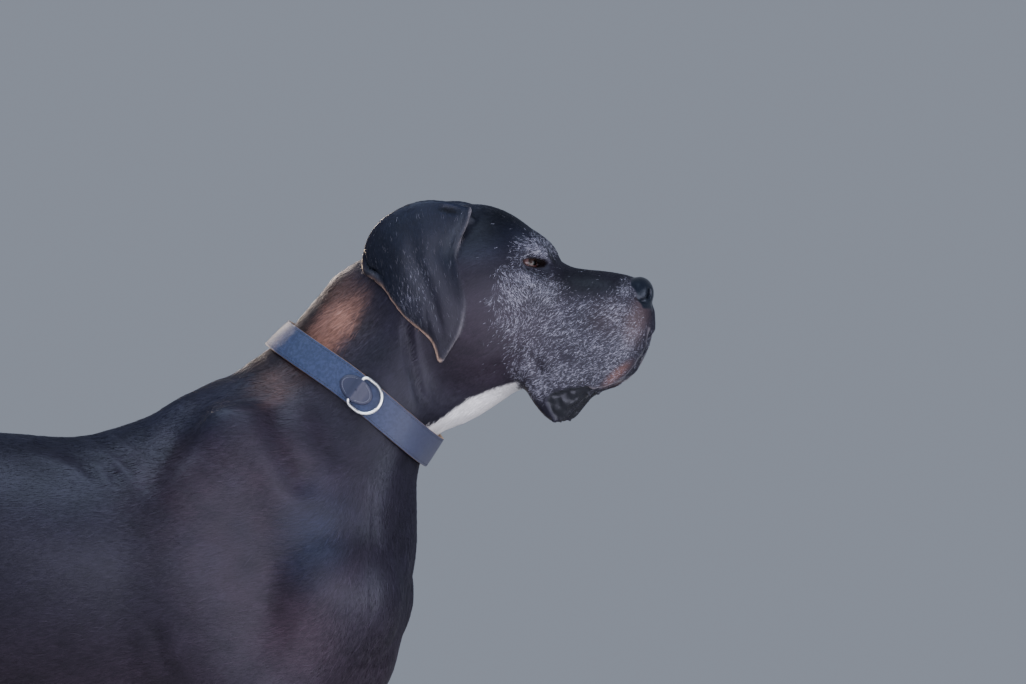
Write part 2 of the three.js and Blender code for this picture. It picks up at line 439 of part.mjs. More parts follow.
// Edge collapse by quadric error, down to a number of triangles; weight says where form matters most.
function thin({ P, T }, target, weight) {
  const n = P.length, Q = Array.from({ length: n }, () => new Float64Array(10)), faces = Array.from({ length: n }, () => new Set());
  const alive = new Uint8Array(T.length).fill(1), gone = new Uint8Array(n), stamp = new Int32Array(n);
  const normal = (a, b, c) => {
    const u = [b[0] - a[0], b[1] - a[1], b[2] - a[2]], v = [c[0] - a[0], c[1] - a[1], c[2] - a[2]];
    return [u[1] * v[2] - u[2] * v[1], u[2] * v[0] - u[0] * v[2], u[0] * v[1] - u[1] * v[0]];
  };
  T.forEach((t, i) => {
    const N = normal(P[t[0]], P[t[1]], P[t[2]]), l = Math.hypot(...N) || 1e-9, [a, b, c] = N.map((v) => v / l), d = -(a * P[t[0]][0] + b * P[t[0]][1] + c * P[t[0]][2]);
    const w = l * weight(P[t[0]]);
    const q = [a * a, a * b, a * c, a * d, b * b, b * c, b * d, c * c, c * d, d * d];
    for (const v of t) { faces[v].add(i); for (let j = 0; j < 10; j++) Q[v][j] += q[j] * w; }
  });
  const err = (q, p) => q[0] * p[0] * p[0] + 2 * q[1] * p[0] * p[1] + 2 * q[2] * p[0] * p[2] + 2 * q[3] * p[0] + q[4] * p[1] * p[1] + 2 * q[5] * p[1] * p[2] + 2 * q[6] * p[1] + q[7] * p[2] * p[2] + 2 * q[8] * p[2] + q[9];
  const best = (a, b) => {
    const q = Q[a].map((v, i) => v + Q[b][i]), A = P[a], B = P[b], mid = A.map((v, i) => (v + B[i]) / 2);
    const reg = 1e-3 * (q[0] + q[4] + q[7]);
    const m = [q[0] + reg, q[1], q[2], q[1], q[4] + reg, q[5], q[2], q[5], q[7] + reg], r = [-q[3] + reg * mid[0], -q[6] + reg * mid[1], -q[8] + reg * mid[2]];
    const det = m[0] * (m[4] * m[8] - m[5] * m[7]) - m[1] * (m[3] * m[8] - m[5] * m[6]) + m[2] * (m[3] * m[7] - m[4] * m[6]);
    let p = mid;
    if (Math.abs(det) > 1e-12) {
      const s = [
        (r[0] * (m[4] * m[8] - m[5] * m[7]) - m[1] * (r[1] * m[8] - m[5] * r[2]) + m[2] * (r[1] * m[7] - m[4] * r[2])) / det,
        (m[0] * (r[1] * m[8] - m[5] * r[2]) - r[0] * (m[3] * m[8] - m[5] * m[6]) + m[2] * (m[3] * r[2] - r[1] * m[6])) / det,
        (m[0] * (m[4] * r[2] - r[1] * m[7]) - m[1] * (m[3] * r[2] - r[1] * m[6]) + r[0] * (m[3] * m[7] - m[4] * m[6])) / det];
      if (Math.hypot(s[0] - mid[0], s[1] - mid[1], s[2] - mid[2]) < 1.5 * Math.hypot(A[0] - B[0], A[1] - B[1], A[2] - B[2])) p = s;
    }
    const len = (A[0] - B[0]) ** 2 + (A[1] - B[1]) ** 2 + (A[2] - B[2]) ** 2;
    return { c: Math.max(0, err(q, p)) + 1e-4 * len * len, p };
  };
  const heap = [];
  const push = (x) => { heap.push(x); let i = heap.length - 1; while (i) { const j = (i - 1) >> 1; if (heap[j].c <= heap[i].c) break; [heap[i], heap[j]] = [heap[j], heap[i]]; i = j; } };
  const pop = () => { const top = heap[0], last = heap.pop(); if (heap.length) { heap[0] = last; let i = 0; for (;;) { let j = 2 * i + 1; if (j >= heap.length) break; if (j + 1 < heap.length && heap[j + 1].c < heap[j].c) j++; if (heap[i].c <= heap[j].c) break; [heap[i], heap[j]] = [heap[j], heap[i]]; i = j; } } return top; };
  const ring = (v) => { const s = new Set(); for (const f of faces[v]) for (const w of T[f]) if (w !== v) s.add(w); return s; };
  const offer = (a, b) => { const { c, p } = best(a, b); push({ c, p, a, b, sa: stamp[a], sb: stamp[b] }); };
  for (let v = 0; v < n; v++) for (const w of ring(v)) if (w > v) offer(v, w);
  let count = T.length;
  while (count > target && heap.length) {
    const { p, a, b, sa, sb } = pop();
    if (gone[a] || gone[b] || stamp[a] !== sa || stamp[b] !== sb) continue;
    const ra = ring(a), rb = ring(b);
    let common = 0;
    for (const w of ra) if (rb.has(w)) common++;
    if (common !== 2 || ra.size + rb.size - 4 < 4) continue;
    let ok = true;
    for (const v of [a, b]) {
      const o = v === a ? b : a;
      for (const f of faces[v]) {
        const t = T[f];
        if (t.includes(o)) continue;
        const N0 = normal(P[t[0]], P[t[1]], P[t[2]]), q = t.map((w) => (w === v ? p : P[w])), N1 = normal(...q);
        const l0 = Math.hypot(...N0), l1 = Math.hypot(...N1);
        if (l1 < 1e-3 || (N0[0] * N1[0] + N0[1] * N1[1] + N0[2] * N1[2]) < 0.25 * l0 * l1) { ok = false; break; }
        const e = Math.max(...[0, 1, 2].map((i) => (q[i][0] - q[(i + 1) % 3][0]) ** 2 + (q[i][1] - q[(i + 1) % 3][1]) ** 2 + (q[i][2] - q[(i + 1) % 3][2]) ** 2));
        if (l1 / e < 0.06) { ok = false; break; }
      }
      if (!ok) break;
    }
    if (!ok) continue;
    P[a] = p;
    for (let j = 0; j < 10; j++) Q[a][j] += Q[b][j];
    for (const f of [...faces[b]]) {
      const t = T[f];
      if (t.includes(a)) { alive[f] = 0; count--; for (const w of t) faces[w].delete(f); }
      else { t[t.indexOf(b)] = a; faces[b].delete(f); faces[a].add(f); }
    }
    gone[b] = 1; stamp[a]++;
    for (const w of ring(a)) offer(a, w);
  }
  const map = new Int32Array(n).fill(-1), out = { P: [], T: [] };
  T.forEach((t, i) => { if (alive[i]) out.T.push(t.map((v) => { if (map[v] < 0) { map[v] = out.P.length; out.P.push(P[v]); } return map[v]; })); });
  return out;
}

// ------------------------------------------------------- joins and cuts
const solid = ({ P, T }) => new wasm.Manifold(new wasm.Mesh({ numProp: 3, vertProperties: new Float32Array(P.flat()), triVerts: new Uint32Array(T.flat()) }));
function solidOf(geometry) {
  const g = geometry.clone();
  for (const name of ['normal', 'uv']) if (g.getAttribute(name)) g.deleteAttribute(name);
  const m = mergeVertices(g, 1e-3), index = m.index ? m.index.array : Uint32Array.from({ length: m.attributes.position.count }, (_, i) => i);
  return new wasm.Manifold(new wasm.Mesh({ numProp: 3, vertProperties: new Float32Array(m.attributes.position.array), triVerts: new Uint32Array(index) }));
}
const block = (x0, x1, y0, y1, z0, z1, grow = 0) => solidOf(new THREE.BoxGeometry(x1 - x0 + 2 * grow, y1 - y0 + 2 * grow, z1 - z0 + 2 * grow).translate((x0 + x1) / 2, (y0 + y1) / 2, (z0 + z1) / 2));
const union = (list) => list.reduce((a, b) => a.add(b));
function largest(s) {
  const parts = s.decompose();
  return parts.reduce((a, b) => (a.volume() > b.volume() ? a : b));
}

const group = new THREE.Group();
const looks = {
  coat: new THREE.MeshStandardMaterial({ color: 0x17181c, roughness: 0.62, metalness: 0 }),
  horn: new THREE.MeshStandardMaterial({ color: 0x191614, roughness: 0.42, metalness: 0 }),
  nose: new THREE.MeshStandardMaterial({ color: 0x0e1014, roughness: 0.35, metalness: 0 }),
  eye: new THREE.MeshStandardMaterial({ color: 0x2a1710, roughness: 0.08, metalness: 0 }),
  strap: new THREE.MeshStandardMaterial({ color: 0x5c6675, roughness: 0.58, metalness: 0 }),
  metal: new THREE.MeshStandardMaterial({ color: 0xc9ced6, roughness: 0.14, metalness: 1 }),
};
const total = { triangles: 0, volume: 0 };
function spread(v, tri) {   // corners that two cuts left at one place are drawn a hair apart
  const n = v.length / 3, near = Array.from({ length: n }, () => new Set()), seen = new Map();
  for (let i = 0; i < tri.length; i += 3) for (let j = 0; j < 3; j++) { near[tri[i + j]].add(tri[i + (j + 1) % 3]); near[tri[i + j]].add(tri[i + (j + 2) % 3]); }
  for (let i = 0; i < n; i++) {
    const key = [0, 1, 2].map((c) => Math.round(v[3 * i + c] * 500)).join();
    if (!seen.has(key)) { seen.set(key, i); continue; }
    const c = [0, 0, 0];
    for (const w of near[i]) for (let k = 0; k < 3; k++) c[k] += v[3 * w + k] / near[i].size;
    const d = c.map((w, k) => w - v[3 * i + k]), l = Math.hypot(...d) || 1;
    for (let k = 0; k < 3; k++) v[3 * i + k] += d[k] / l * 0.04;
  }
  return v;
}
function add(name, s, look) {
  const m = s.getMesh(), g = new THREE.BufferGeometry();
  g.setAttribute('position', new THREE.BufferAttribute(spread(new Float32Array(m.vertProperties), m.triVerts), 3));
  g.setIndex(new THREE.BufferAttribute(new Uint32Array(m.triVerts), 1));
  g.computeVertexNormals();
  const mesh = new THREE.Mesh(g, looks[look].clone());
  mesh.name = name;
  group.add(mesh);
  total.triangles += m.triVerts.length / 3;
  total.volume += s.volume();
}

// ---------------------------------------------------------------- the dog
const grid = [
  graded([[-705, GRID.body], [185, GRID.head], [570, 1]]),
  graded([[-182, GRID.across], [182, 1]]),
  graded([[-22, GRID.head], [60, GRID.body], [770, GRID.head], [1100, 1]]),
];
const raw = nets(field, grid);
settle(field, raw.P, 1);
const focus = (p) => (p[0] > 250 && p[2] > 790 ? 4 : p[2] < 70 ? 1.1 : p[2] < 300 ? 1.4 : 1);
let dog = solid(thin(raw, BODY_TRIANGLES, focus));
dog = dog.subtract(block(-900, 800, -400, 400, -200, 0));   // flat soles on the floor

// ears: middle surface from inside the skull over the crest and down the flap
function along(rows, t) {
  const S = spline(rows, 6), L = [0];
  for (let i = 1; i < S.length; i++) L.push(L[i - 1] + Math.hypot(S[i][0] - S[i - 1][0], S[i][1] - S[i - 1][1], S[i][2] - S[i - 1][2]));
  const u = t * L[L.length - 1];
  let i = 0;
  while (i < L.length - 2 && u > L[i + 1]) i++;
  const f = clamp((u - L[i]) / (L[i + 1] - L[i]), 0, 1);
  return S[i].map((v, c) => v + f * (S[i + 1][c] - v));
}
function earPoint(u, v) {
  const top = along(EAR_TOP, v);
  if (u < 0) {
    const w = 1 + u, s = Math.sin(Math.PI / 2 * w);
    return [top[0] + (v - 0.5) * 10 * (1 - w), top[1] - EAR_FOLD * (1 - s) - 14 * (1 - w), top[2] - 26 * (1 - w) ** 1.4];
  }
  const f = along(EAR_FRONT, u), r = along(EAR_REAR, u), a = along(EAR_TOP, 0), b = along(EAR_TOP, 1);
  const k = (1 - u) ** 1.7;
  const p = [0, 1, 2].map((c) => f[c] + (r[c] - f[c]) * v + (top[c] - a[c] - (b[c] - a[c]) * v) * k);
  const bulge = Math.sin(Math.PI * v) ** 0.8 * EAR_BULGE * (0.35 + 0.65 * Math.sin(Math.PI * Math.min(1, u * 1.15)) ** 0.7) * (1 - 0.55 * u);
  const crease = Math.exp(-(((v - 0.42 - 0.1 * u) / 0.1) ** 2)) * 3.2 * Math.sin(Math.PI * Math.min(1, u * 1.1));
  const turned = Math.exp(-((v / 0.1) ** 2)) * 6 * Math.exp(-(((u - 0.28) / 0.16) ** 2));
  p[1] += bulge - crease - turned;
  return p;
}
function ear(side, grow) {
  const U = [-1, -0.5, -0.2, 0, 0.05, 0.13, 0.26, 0.4, 0.54, 0.68, 0.8, 0.9, 1], V = [0, 0.09, 0.25, 0.42, 0.58, 0.75, 0.9, 1];
  const e = 1e-3, front = [], back = [];
  for (const u of U) for (const v of V) {
    const at = (a, b) => earPoint(clamp(a, -1, 1), clamp(b, 0, 1));
    const c = earPoint(u, v), du = new THREE.Vector3(...at(u + e, v)).sub(new THREE.Vector3(...at(u - e, v))), dv = new THREE.Vector3(...at(u, v + e)).sub(new THREE.Vector3(...at(u, v - e)));
    const N = du.cross(dv).normalize();
    const rim = Math.min(1, Math.min(v, 1 - v) / 0.12, (1 - u) / 0.12), half = (EAR_HALF + COAT_EAR) * (0.55 + 0.45 * smooth(rim)) + grow;
    const mid = pose([c[0], c[1] * side, c[2]]), out = pose([c[0] + N.x, (c[1] + N.y) * side, c[2] + N.z]), dir = out.map((w, i) => w - mid[i]), l = Math.hypot(...dir);
    front.push(mid.map((w, i) => w + dir[i] / l * half));
    back.push(mid.map((w, i) => w - dir[i] / l * half));
  }
  // the rim stands out by the same growth
  const nu = U.length, nv = V.length, N = nu * nv, P = [...front, ...back], T = [];
  if (grow) for (let i = 0; i < nu; i++) for (const j of [0, nv - 1]) {
    const a = i * nv + j, b = i * nv + (j ? nv - 2 : 1), d = P[a].map((w, c) => w - P[b][c]), l = Math.hypot(...d);
    for (const o of [0, N]) P[a + o] = P[a + o].map((w, c) => w + d[c] / l * grow);
  }
  const q = (a, b, c, d) => T.push([a, b, c], [a, c, d]);
  for (let i = 0; i + 1 < nu; i++) for (let j = 0; j + 1 < nv; j++) {
    const a = i * nv + j;
    q(a, a + nv, a + nv + 1, a + 1);
    q(a + N, a + N + 1, a + N + nv + 1, a + N + nv);
  }
  const loop = [];
  for (let j = 0; j < nv; j++) loop.push(j);
  for (let i = 1; i < nu; i++) loop.push(i * nv + nv - 1);
  for (let j = nv - 2; j >= 0; j--) loop.push((nu - 1) * nv + j);
  for (let i = nu - 2; i > 0; i--) loop.push(i * nv);
  for (let i = 0; i < loop.length; i++) { const a = loop[i], b = loop[(i + 1) % loop.length]; q(a, b, b + N, a + N); }
  if (side < 0) for (const t of T) [t[1], t[2]] = [t[2], t[1]];
  let s = solid({ P, T });
  if (s.volume() < 0) { for (const t of T) [t[1], t[2]] = [t[2], t[1]]; s = solid({ P, T }); }
  return s;
}

// eyes, in sockets that open between the lids
function ball(side, grow) {
  const c = pose([EYE.x, EYE.y * side, EYE.z]);
  return solidOf(new THREE.SphereGeometry(EYE.r + grow, 12, 8).rotateX(Math.PI / 2).translate(...c));
}
function opening(side) {
  const c = new THREE.Vector3(...pose([EYE.x, EYE.y * side, EYE.z]));
  const look = new THREE.Vector3(Math.cos(EYE.side * rad), Math.sin(EYE.side * rad) * side, Math.sin(EYE.up * rad)).normalize();
  const shape = new THREE.Shape(Array.from({ length: 12 }, (_, i) => { const a = i / 12 * 2 * Math.PI; return new THREE.Vector2(LID.half * 0.8 * Math.cos(a), LID.high * Math.sin(a)); }));
  const g = new THREE.ExtrudeGeometry(shape, { depth: 50, bevelEnabled: false });
  g.applyMatrix4(new THREE.Matrix4().lookAt(look, new THREE.Vector3(), new THREE.Vector3(0, 0, 1)).setPosition(c));
  return solidOf(g);
}

// claws: a tapered, down-curved cone rooted in each toe
function claw([x, y, z], length, r, drop, out, grow) {
  const rings = 3, seg = 6, P = [], T = [];
  for (let i = 0; i < rings; i++) {
    const t = i / (rings - 1), rr = r * (1 - 0.72 * t ** 1.3) + grow;
    for (let j = 0; j < seg; j++) {
      const a = j / seg * 2 * Math.PI;
      P.push([x + length * t + (i === 0 ? -grow : i === rings - 1 ? grow : 0), y + out * t + rr * 0.72 * Math.cos(a), z - drop * t * t + rr * Math.sin(a)]);
    }
  }
  const a0 = P.length, a1 = a0 + 1;
  P.push([x - grow, y, z], [x + length + grow + 0.6, y + out, z - drop - 0.4]);
  for (let j = 0; j < seg; j++) {
    const k = (j + 1) % seg;
    T.push([a0, k, j], [a1, (rings - 1) * seg + j, (rings - 1) * seg + k]);
    for (let i = 0; i + 1 < rings; i++) { const p = i * seg; T.push([p + j, p + k, p + seg + k], [p + j, p + seg + k, p + seg + j]); }
  }
  let s = solid({ P: P.map((p) => pose(p)), T });
  if (s.volume() < 0) s = solid({ P: P.map((p) => pose(p)), T: T.map(([p, q, r2]) => [p, r2, q]) });
  return s;
}

const claws = [];
const pairs = [['left', 1], ['right', -1]];
for (const [where, side] of pairs) {
  for (const [end, paw] of [['fore', FORE_PAW], ['hind', HIND_PAW]])
    TOES.forEach((toe, i) => {
      const s = paw.size, y = side * (paw.y + toe.across * s), x = paw.x + (toe.tip - 12) * s;
      const at = (grow) => claw([x, y, 25 * s], 21 * s, 4.6 * s, 12 * s, side * toe.across * 0.05, grow);
      claws.push({ name: `claw_${end}_${where}_${i + 1}`, solid: at(0), grown: at(GAP) });
    });
  const dew = (grow) => claw([66, side * 56, 122], 11, 3.4, 9, -side * 3, grow);
  claws.push({ name: `dewclaw_${where}`, solid: dew(0), grown: dew(GAP) });
}

// thin cuts that part the body
const half = GAP / 2;
const shell = (boxes) => union(boxes.map((b) => block(...b, half))).subtract(union(boxes.map((b) => block(...b, -half))));
function slab(x, z, angle, wide, high) {   // a thin wall across the line that leaves (x, z) at an angle
  return solidOf(new THREE.BoxGeometry(GAP, wide, high).rotateY(-angle * rad).translate(x, 0, z));
}
const headFrame = (() => {   // the head's turn, from the square dog
  const O = [420, 0, 950], o = new THREE.Vector3(...pose(O)), ax = [0, 1, 2].map((i) => new THREE.Vector3(...pose(O.map((v, j) => v + (i === j ? 50 : 0)))).sub(o).normalize());
  return new THREE.Matrix4().makeBasis(...ax).setPosition(o).multiply(new THREE.Matrix4().makeTranslation(-O[0], -O[1], -O[2]));
})();
const mirror = (b, s) => (s > 0 ? b : [b[0], b[1], -b[3], -b[2], b[4], b[5]]);
const cuts = [
  slab(...CUT.head),
  slab(...CUT.neck),
  shell([CUT.tail]),
  shell([CUT.nose]).transform(headFrame.toArray()),
];
for (const [, s] of pairs) {
  cuts.push(shell(CUT.fore.map((b) => mirror(b, s))));
  cuts.push(shell(CUT.hind.map((b) => mirror(b, s))));
  cuts.push(block(...mirror(CUT.forePaw, s)));
  cuts.push(block(...mirror(CUT.hindPaw, s)));
}
const ears = { left: ear(1, 0), right: ear(-1, 0) };
const hollows = [ear(1, GAP + 0.1), ear(-1, GAP + 0.1), ball(1, GAP), ball(-1, GAP), opening(1), opening(-1), ...claws.map((c) => c.grown)];
const parted = dog.subtract(union(cuts)).subtract(union(hollows));
const pieces = parted.decompose().filter((p) => p.volume() > 400).map((p) => p.simplify(0.06));

const inside = (p, b) => p[0] > b[0] && p[0] < b[1] && p[1] > b[2] && p[1] < b[3] && p[2] > b[4] && p[2] < b[5];
function centre(s) {
  const m = s.getMesh(), v = m.vertProperties, n = v.length / 3, c = [0, 0, 0];
  for (let i = 0; i < v.length; i++) c[i % 3] += v[i] / n;
  return c;
}
const found = {};
for (const p of pieces) {
  const c = centre(p), hit = Object.entries(PARTS).find(([, b]) => inside(c, b));
  const name = hit ? hit[0] : 'unknown';
  if (!found[name] || found[name].volume() < p.volume()) found[name] = p;
}
for (const name of Object.keys(PARTS)) if (found[name]) add(name, found[name], name === 'nose' ? 'nose' : 'coat');
for (const [where] of pairs) add(`ear_${where}`, ears[where], 'coat');
for (const [where, s] of pairs) add(`eye_${where}`, ball(s, 0), 'eye');
for (const c of claws) add(c.name, c.solid, 'horn');

// ------------------------------------------------------------- the collar
const CA = Math.cos(STRAP.angle * rad), SA = Math.sin(STRAP.angle * rad);
const V3 = (x, y, z) => new THREE.Vector3(x, y, z);
const AXIS = V3(CA, 0, SA), MIDDLE = V3(STRAP.x, 0, STRAP.z);
// Outward line at angle a round the neck (0 at the nape, 90 on its left side, -90 on its right).
const outward = (a) => V3(-SA * Math.cos(a), Math.sin(a), CA * Math.cos(a));
function girth(a, t) {   // from the axis to the coat
  const c = MIDDLE.clone().addScaledVector(AXIS, t), d = outward(a);
  let lo = 50, hi = 175;
  for (let i = 0; i < 26; i++) { const m = (lo + hi) / 2, p = c.clone().addScaledVector(d, m); if (field(p.x, p.y, p.z) < 0) lo = m; else hi = m; }
  return lo;
}
const TURN = 40, wall = [];
for (let i = 0; i < TURN; i++) {
  const a = i / TURN * 2 * Math.PI, b = STRAP.bow * Math.sin(a) ** 2, w = STRAP.width / 2;
  const r0 = girth(a, b - w), r1 = girth(a, b), r2 = girth(a, b + w), lift = Math.max(0, r1 - (r0 + r2) / 2);
  wall.push({ a, bow: b, low: r0 + lift + STRAP.clear, high: r2 + lift + STRAP.clear });
}
// Point of the collar: angle, distance across toward the head, height over the inner face.
function strapPoint(a, t, h) {
  const f = ((a / (2 * Math.PI)) % 1 + 1) % 1 * TURN, i = Math.floor(f), k = f - i, A = wall[i % TURN], B = wall[(i + 1) % TURN];
  const mix = (p, q) => p + (q - p) * k, low = mix(A.low, B.low), high = mix(A.high, B.high), s = t / STRAP.width + 0.5;
  return MIDDLE.clone().addScaledVector(AXIS, mix(A.bow, B.bow) + t).addScaledVector(outward(a), low + (high - low) * s + h);
}
// Position along the collar: millimetres u from angle a0 toward the throat on its right side, toward the nape on its left.
function slide(a0, u, h) {
  let a = a0, left = Math.abs(u);
  const step = -Math.sign(u) * 0.01;
  for (let p = strapPoint(a, 0, h); left > 0; ) {
    const q = strapPoint(a + step, 0, h), d = q.distanceTo(p);
    if (d >= left) { a += step * left / d; break; }
    a += step; left -= d; p = q;
  }
  return a;
}
function rings(loops, seg) {   // closed skin over loops of points, ends joined to each other
  const P = loops.flat().map((p) => p.toArray()), n = loops.length, T = [];
  for (let i = 0; i < n; i++) for (let j = 0; j < seg; j++) {
    const a = i * seg + j, b = i * seg + (j + 1) % seg, c = ((i + 1) % n) * seg + (j + 1) % seg, d = ((i + 1) % n) * seg + j;
    T.push([a, b, c], [a, c, d]);
  }
  return upright(P, T);
}
function upright(P, T) {
  const s = solid({ P, T });
  return s.volume() < 0 ? solid({ P, T: T.map(([a, b, c]) => [a, c, b]) }) : s;
}
const W = STRAP.width / 2, H = STRAP.thick, bevel = 0.8;
add('collar_strap', rings(wall.map(({ a }) => [[-W, 0], [-W, H - bevel], [-W + bevel, H], [W - bevel, H], [W, H - bevel], [W, 0]].map(([t, h]) => strapPoint(a, t, h))), 6), 'strap');

// A plate that follows the collar: outline in (u, v), its under and upper height.
function plate(a0, outline, under, upper, inner) {
  const P = [], T = [], n = outline.length, m = inner.length, at = (u, v, h) => strapPoint(slide(a0, u, H), v, H + h).toArray();
  const cu = outline.reduce((s, p) => s + p[0], 0) / n, cv = outline.reduce((s, p) => s + p[1], 0) / n;
  for (const side of [0, 1]) {
    for (const k of inner) for (const [u, v] of outline) { const x = cu + (u - cu) * k, y = cv + (v - cv) * k; P.push(at(x, y, side ? upper(x, y) : under(x, y))); }
    P.push(at(cu, cv, side ? upper(cu, cv) : under(cu, cv)));
  }
  const S = n * m + 1;
  for (const side of [0, 1]) for (let j = 0; j < n; j++) {
    const k = (j + 1) % n, o = side * S, flip = (t) => T.push(side ? t : [t[0], t[2], t[1]]);
    for (let i = 0; i + 1 < m; i++) { flip([o + i * n + j, o + i * n + k, o + (i + 1) * n + k]); flip([o + i * n + j, o + (i + 1) * n + k, o + (i + 1) * n + j]); }
    flip([o + (m - 1) * n + j, o + (m - 1) * n + k, o + S - 1]);
  }
  for (let j = 0; j < n; j++) { const k = (j + 1) % n; T.push([j, k, S + k], [j, S + k, S + j]); }
  return upright(P, T);
}

// the ring: a D whose bar runs across the strap under a stitched tab
const RING_AT = -94 * rad, RING = { wide: 20, deep: 36, wire: 2.3, lift: 4.5, lean: 0.1 };
const bar = strapPoint(RING_AT, 0, H), ahead = strapPoint(slide(RING_AT, 3, H), 0, H).sub(bar).normalize();
const across = strapPoint(RING_AT, 15, H).sub(strapPoint(RING_AT, -15, H)).normalize();
const normal = ahead.clone().cross(across).normalize();
if (normal.dot(outward(RING_AT)) < 0) normal.negate();
function dee(grow) {
  const g = new THREE.TorusGeometry(20, RING.wire + grow, 6, 24), pos = g.getAttribute('position');
  const R = RING.wide, straight = RING.deep - R, corner = 5;
  for (let i = 0; i < pos.count; i++) {
    const x = pos.getX(i), y = pos.getY(i), z = pos.getZ(i), f = Math.atan2(y, x), radial = Math.hypot(x, y) - 20;
    // outline: half circle ahead, straight arms, rounded corners to the bar behind
    let px, py, nx, ny;
    if (Math.cos(f) >= 0) { nx = Math.cos(f); ny = Math.sin(f); px = straight + R * nx; py = R * ny; }
    else {
      const e = 5, c = Math.cos(f), s = Math.sin(f), k = (Math.abs(c) ** e + Math.abs(s) ** e) ** (-1 / e);
      px = straight + c * k * straight; py = s * k * R;
      nx = -(Math.abs(c * k) ** (e - 1)) / straight; ny = Math.sign(s) * Math.abs(s * k) ** (e - 1) / R;
      const l = Math.hypot(nx, ny); nx /= l; ny /= l;
    }
    const u = px + radial * nx, v = py + radial * ny, h = RING.lift - RING.lean * px + z;
    const p = bar.clone().addScaledVector(ahead, u).addScaledVector(across, v).addScaledVector(normal, h);
    pos.setXYZ(i, p.x, p.y, p.z);
  }
  const s = solidOf(g);
  return s;
}
const oval = (a, b, n) => Array.from({ length: n }, (_, i) => [a * Math.cos(i / n * 2 * Math.PI), b * Math.sin(i / n * 2 * Math.PI)]);
const hump = (u) => 2.5 + 6.4 * Math.exp(-((u / 7.5) ** 2));
add('collar_tab', largest(plate(RING_AT, oval(23, 15, 14), () => GAP, (u) => hump(u), [1, 0.7, 0.3]).subtract(dee(GAP))), 'strap');
add('collar_ring', dee(0), 'metal');

// the fastening, on its left side: free end of the strap, frame, pin and keeper
const BUCKLE_AT = 92 * rad, END = { half: 17.5, thick: 3 };
function ribbon(a0, rows, under, upper) {   // rows of [u, half width]
  const loops = rows.map(([u, w]) => [[-w, under], [-w, upper], [w, upper], [w, under]].map(([v, h]) => strapPoint(slide(a0, u, H), v, H + h)));
  const P = loops.flat().map((p) => p.toArray()), T = [], n = loops.length;
  for (let i = 0; i + 1 < n; i++) for (let j = 0; j < 4; j++) { const a = i * 4 + j, b = i * 4 + (j + 1) % 4; T.push([a, b, b + 4], [a, b + 4, a + 4]); }
  T.push([0, 2, 1], [0, 3, 2]);
  const e = (n - 1) * 4;
  T.push([e, e + 1, e + 2], [e, e + 2, e + 3]);
  return upright(P, T);
}
add('collar_end', ribbon(BUCKLE_AT, [[24, 17.5], [12, 17.5], [0, 17.5], [-12, 17.5], [-26, 17.5], [-40, 17.5], [-54, 17.5], [-68, 17.5], [-76, 15.5], [-82, 10], [-84.5, 4]], GAP + 0.15, GAP + END.thick), 'strap');
const place = (u, lift) => {   // frame on the collar at u from the buckle: x along it, y across, z outward
  const a = slide(BUCKLE_AT, u, H), o = strapPoint(a, 0, H), x = strapPoint(slide(a, 2, H), 0, H).sub(strapPoint(slide(a, -2, H), 0, H)).normalize();
  let z = x.clone().cross(strapPoint(a, 15, H).sub(strapPoint(a, -15, H))).normalize();
  if (z.dot(outward(a)) < 0) z.negate();
  const y = z.clone().cross(x).normalize();
  return new THREE.Matrix4().makeBasis(x, y, z).setPosition(o.addScaledVector(z, lift));
};
const frame = new THREE.TorusGeometry(20, 2.2, 5, 20);
{
  const pos = frame.getAttribute('position');
  for (let i = 0; i < pos.count; i++) {
    const x = pos.getX(i), y = pos.getY(i), f = Math.atan2(y, x), e = 6, c = Math.cos(f), s = Math.sin(f), k = (Math.abs(c) ** e + Math.abs(s) ** e) ** (-1 / e), r = Math.hypot(x, y) - 20;
    const A = 15.5, B = 24.5;
    let nx = Math.sign(c) * Math.abs(c * k) ** (e - 1) / A, ny = Math.sign(s) * Math.abs(s * k) ** (e - 1) / B;
    const l = Math.hypot(nx, ny);
    pos.setXYZ(i, c * k * A + r * nx / l, s * k * B + r * ny / l, pos.getZ(i));
  }
}
add('collar_buckle', solidOf(frame.applyMatrix4(place(0, 6.8))), 'metal');
add('collar_tongue', solidOf(new THREE.CylinderGeometry(1.5, 1.5, 35, 8).rotateZ(Math.PI / 2).applyMatrix4(place(0, 6.8 + 2.2 + 1.5 + GAP))), 'metal');
const loopShape = new THREE.Shape([[-23, -3], [-20.8, -3], [-20.8, 3.8], [20.8, 3.8], [20.8, -3], [23, -3], [23, 5.4], [22.2, 6.2], [-22.2, 6.2], [-23, 5.4]].map(([x, y]) => new THREE.Vector2(x, y)));
add('collar_keeper', solidOf(new THREE.ExtrudeGeometry(loopShape, { depth: 10, bevelEnabled: false }).translate(0, 0, -5).applyMatrix4(new THREE.Matrix4().makeBasis(V3(0, 1, 0), V3(0, 0, 1), V3(1, 0, 0))).applyMatrix4(place(-34, 0.6))), 'strap');

group.position.set(-ORIGIN[0], -ORIGIN[1], 0);
export default group;
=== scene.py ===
import math

import bpy
import numpy as np
from mathutils import Matrix, Vector
from mathutils.bvhtree import BVHTree
from mathutils.kdtree import KDTree


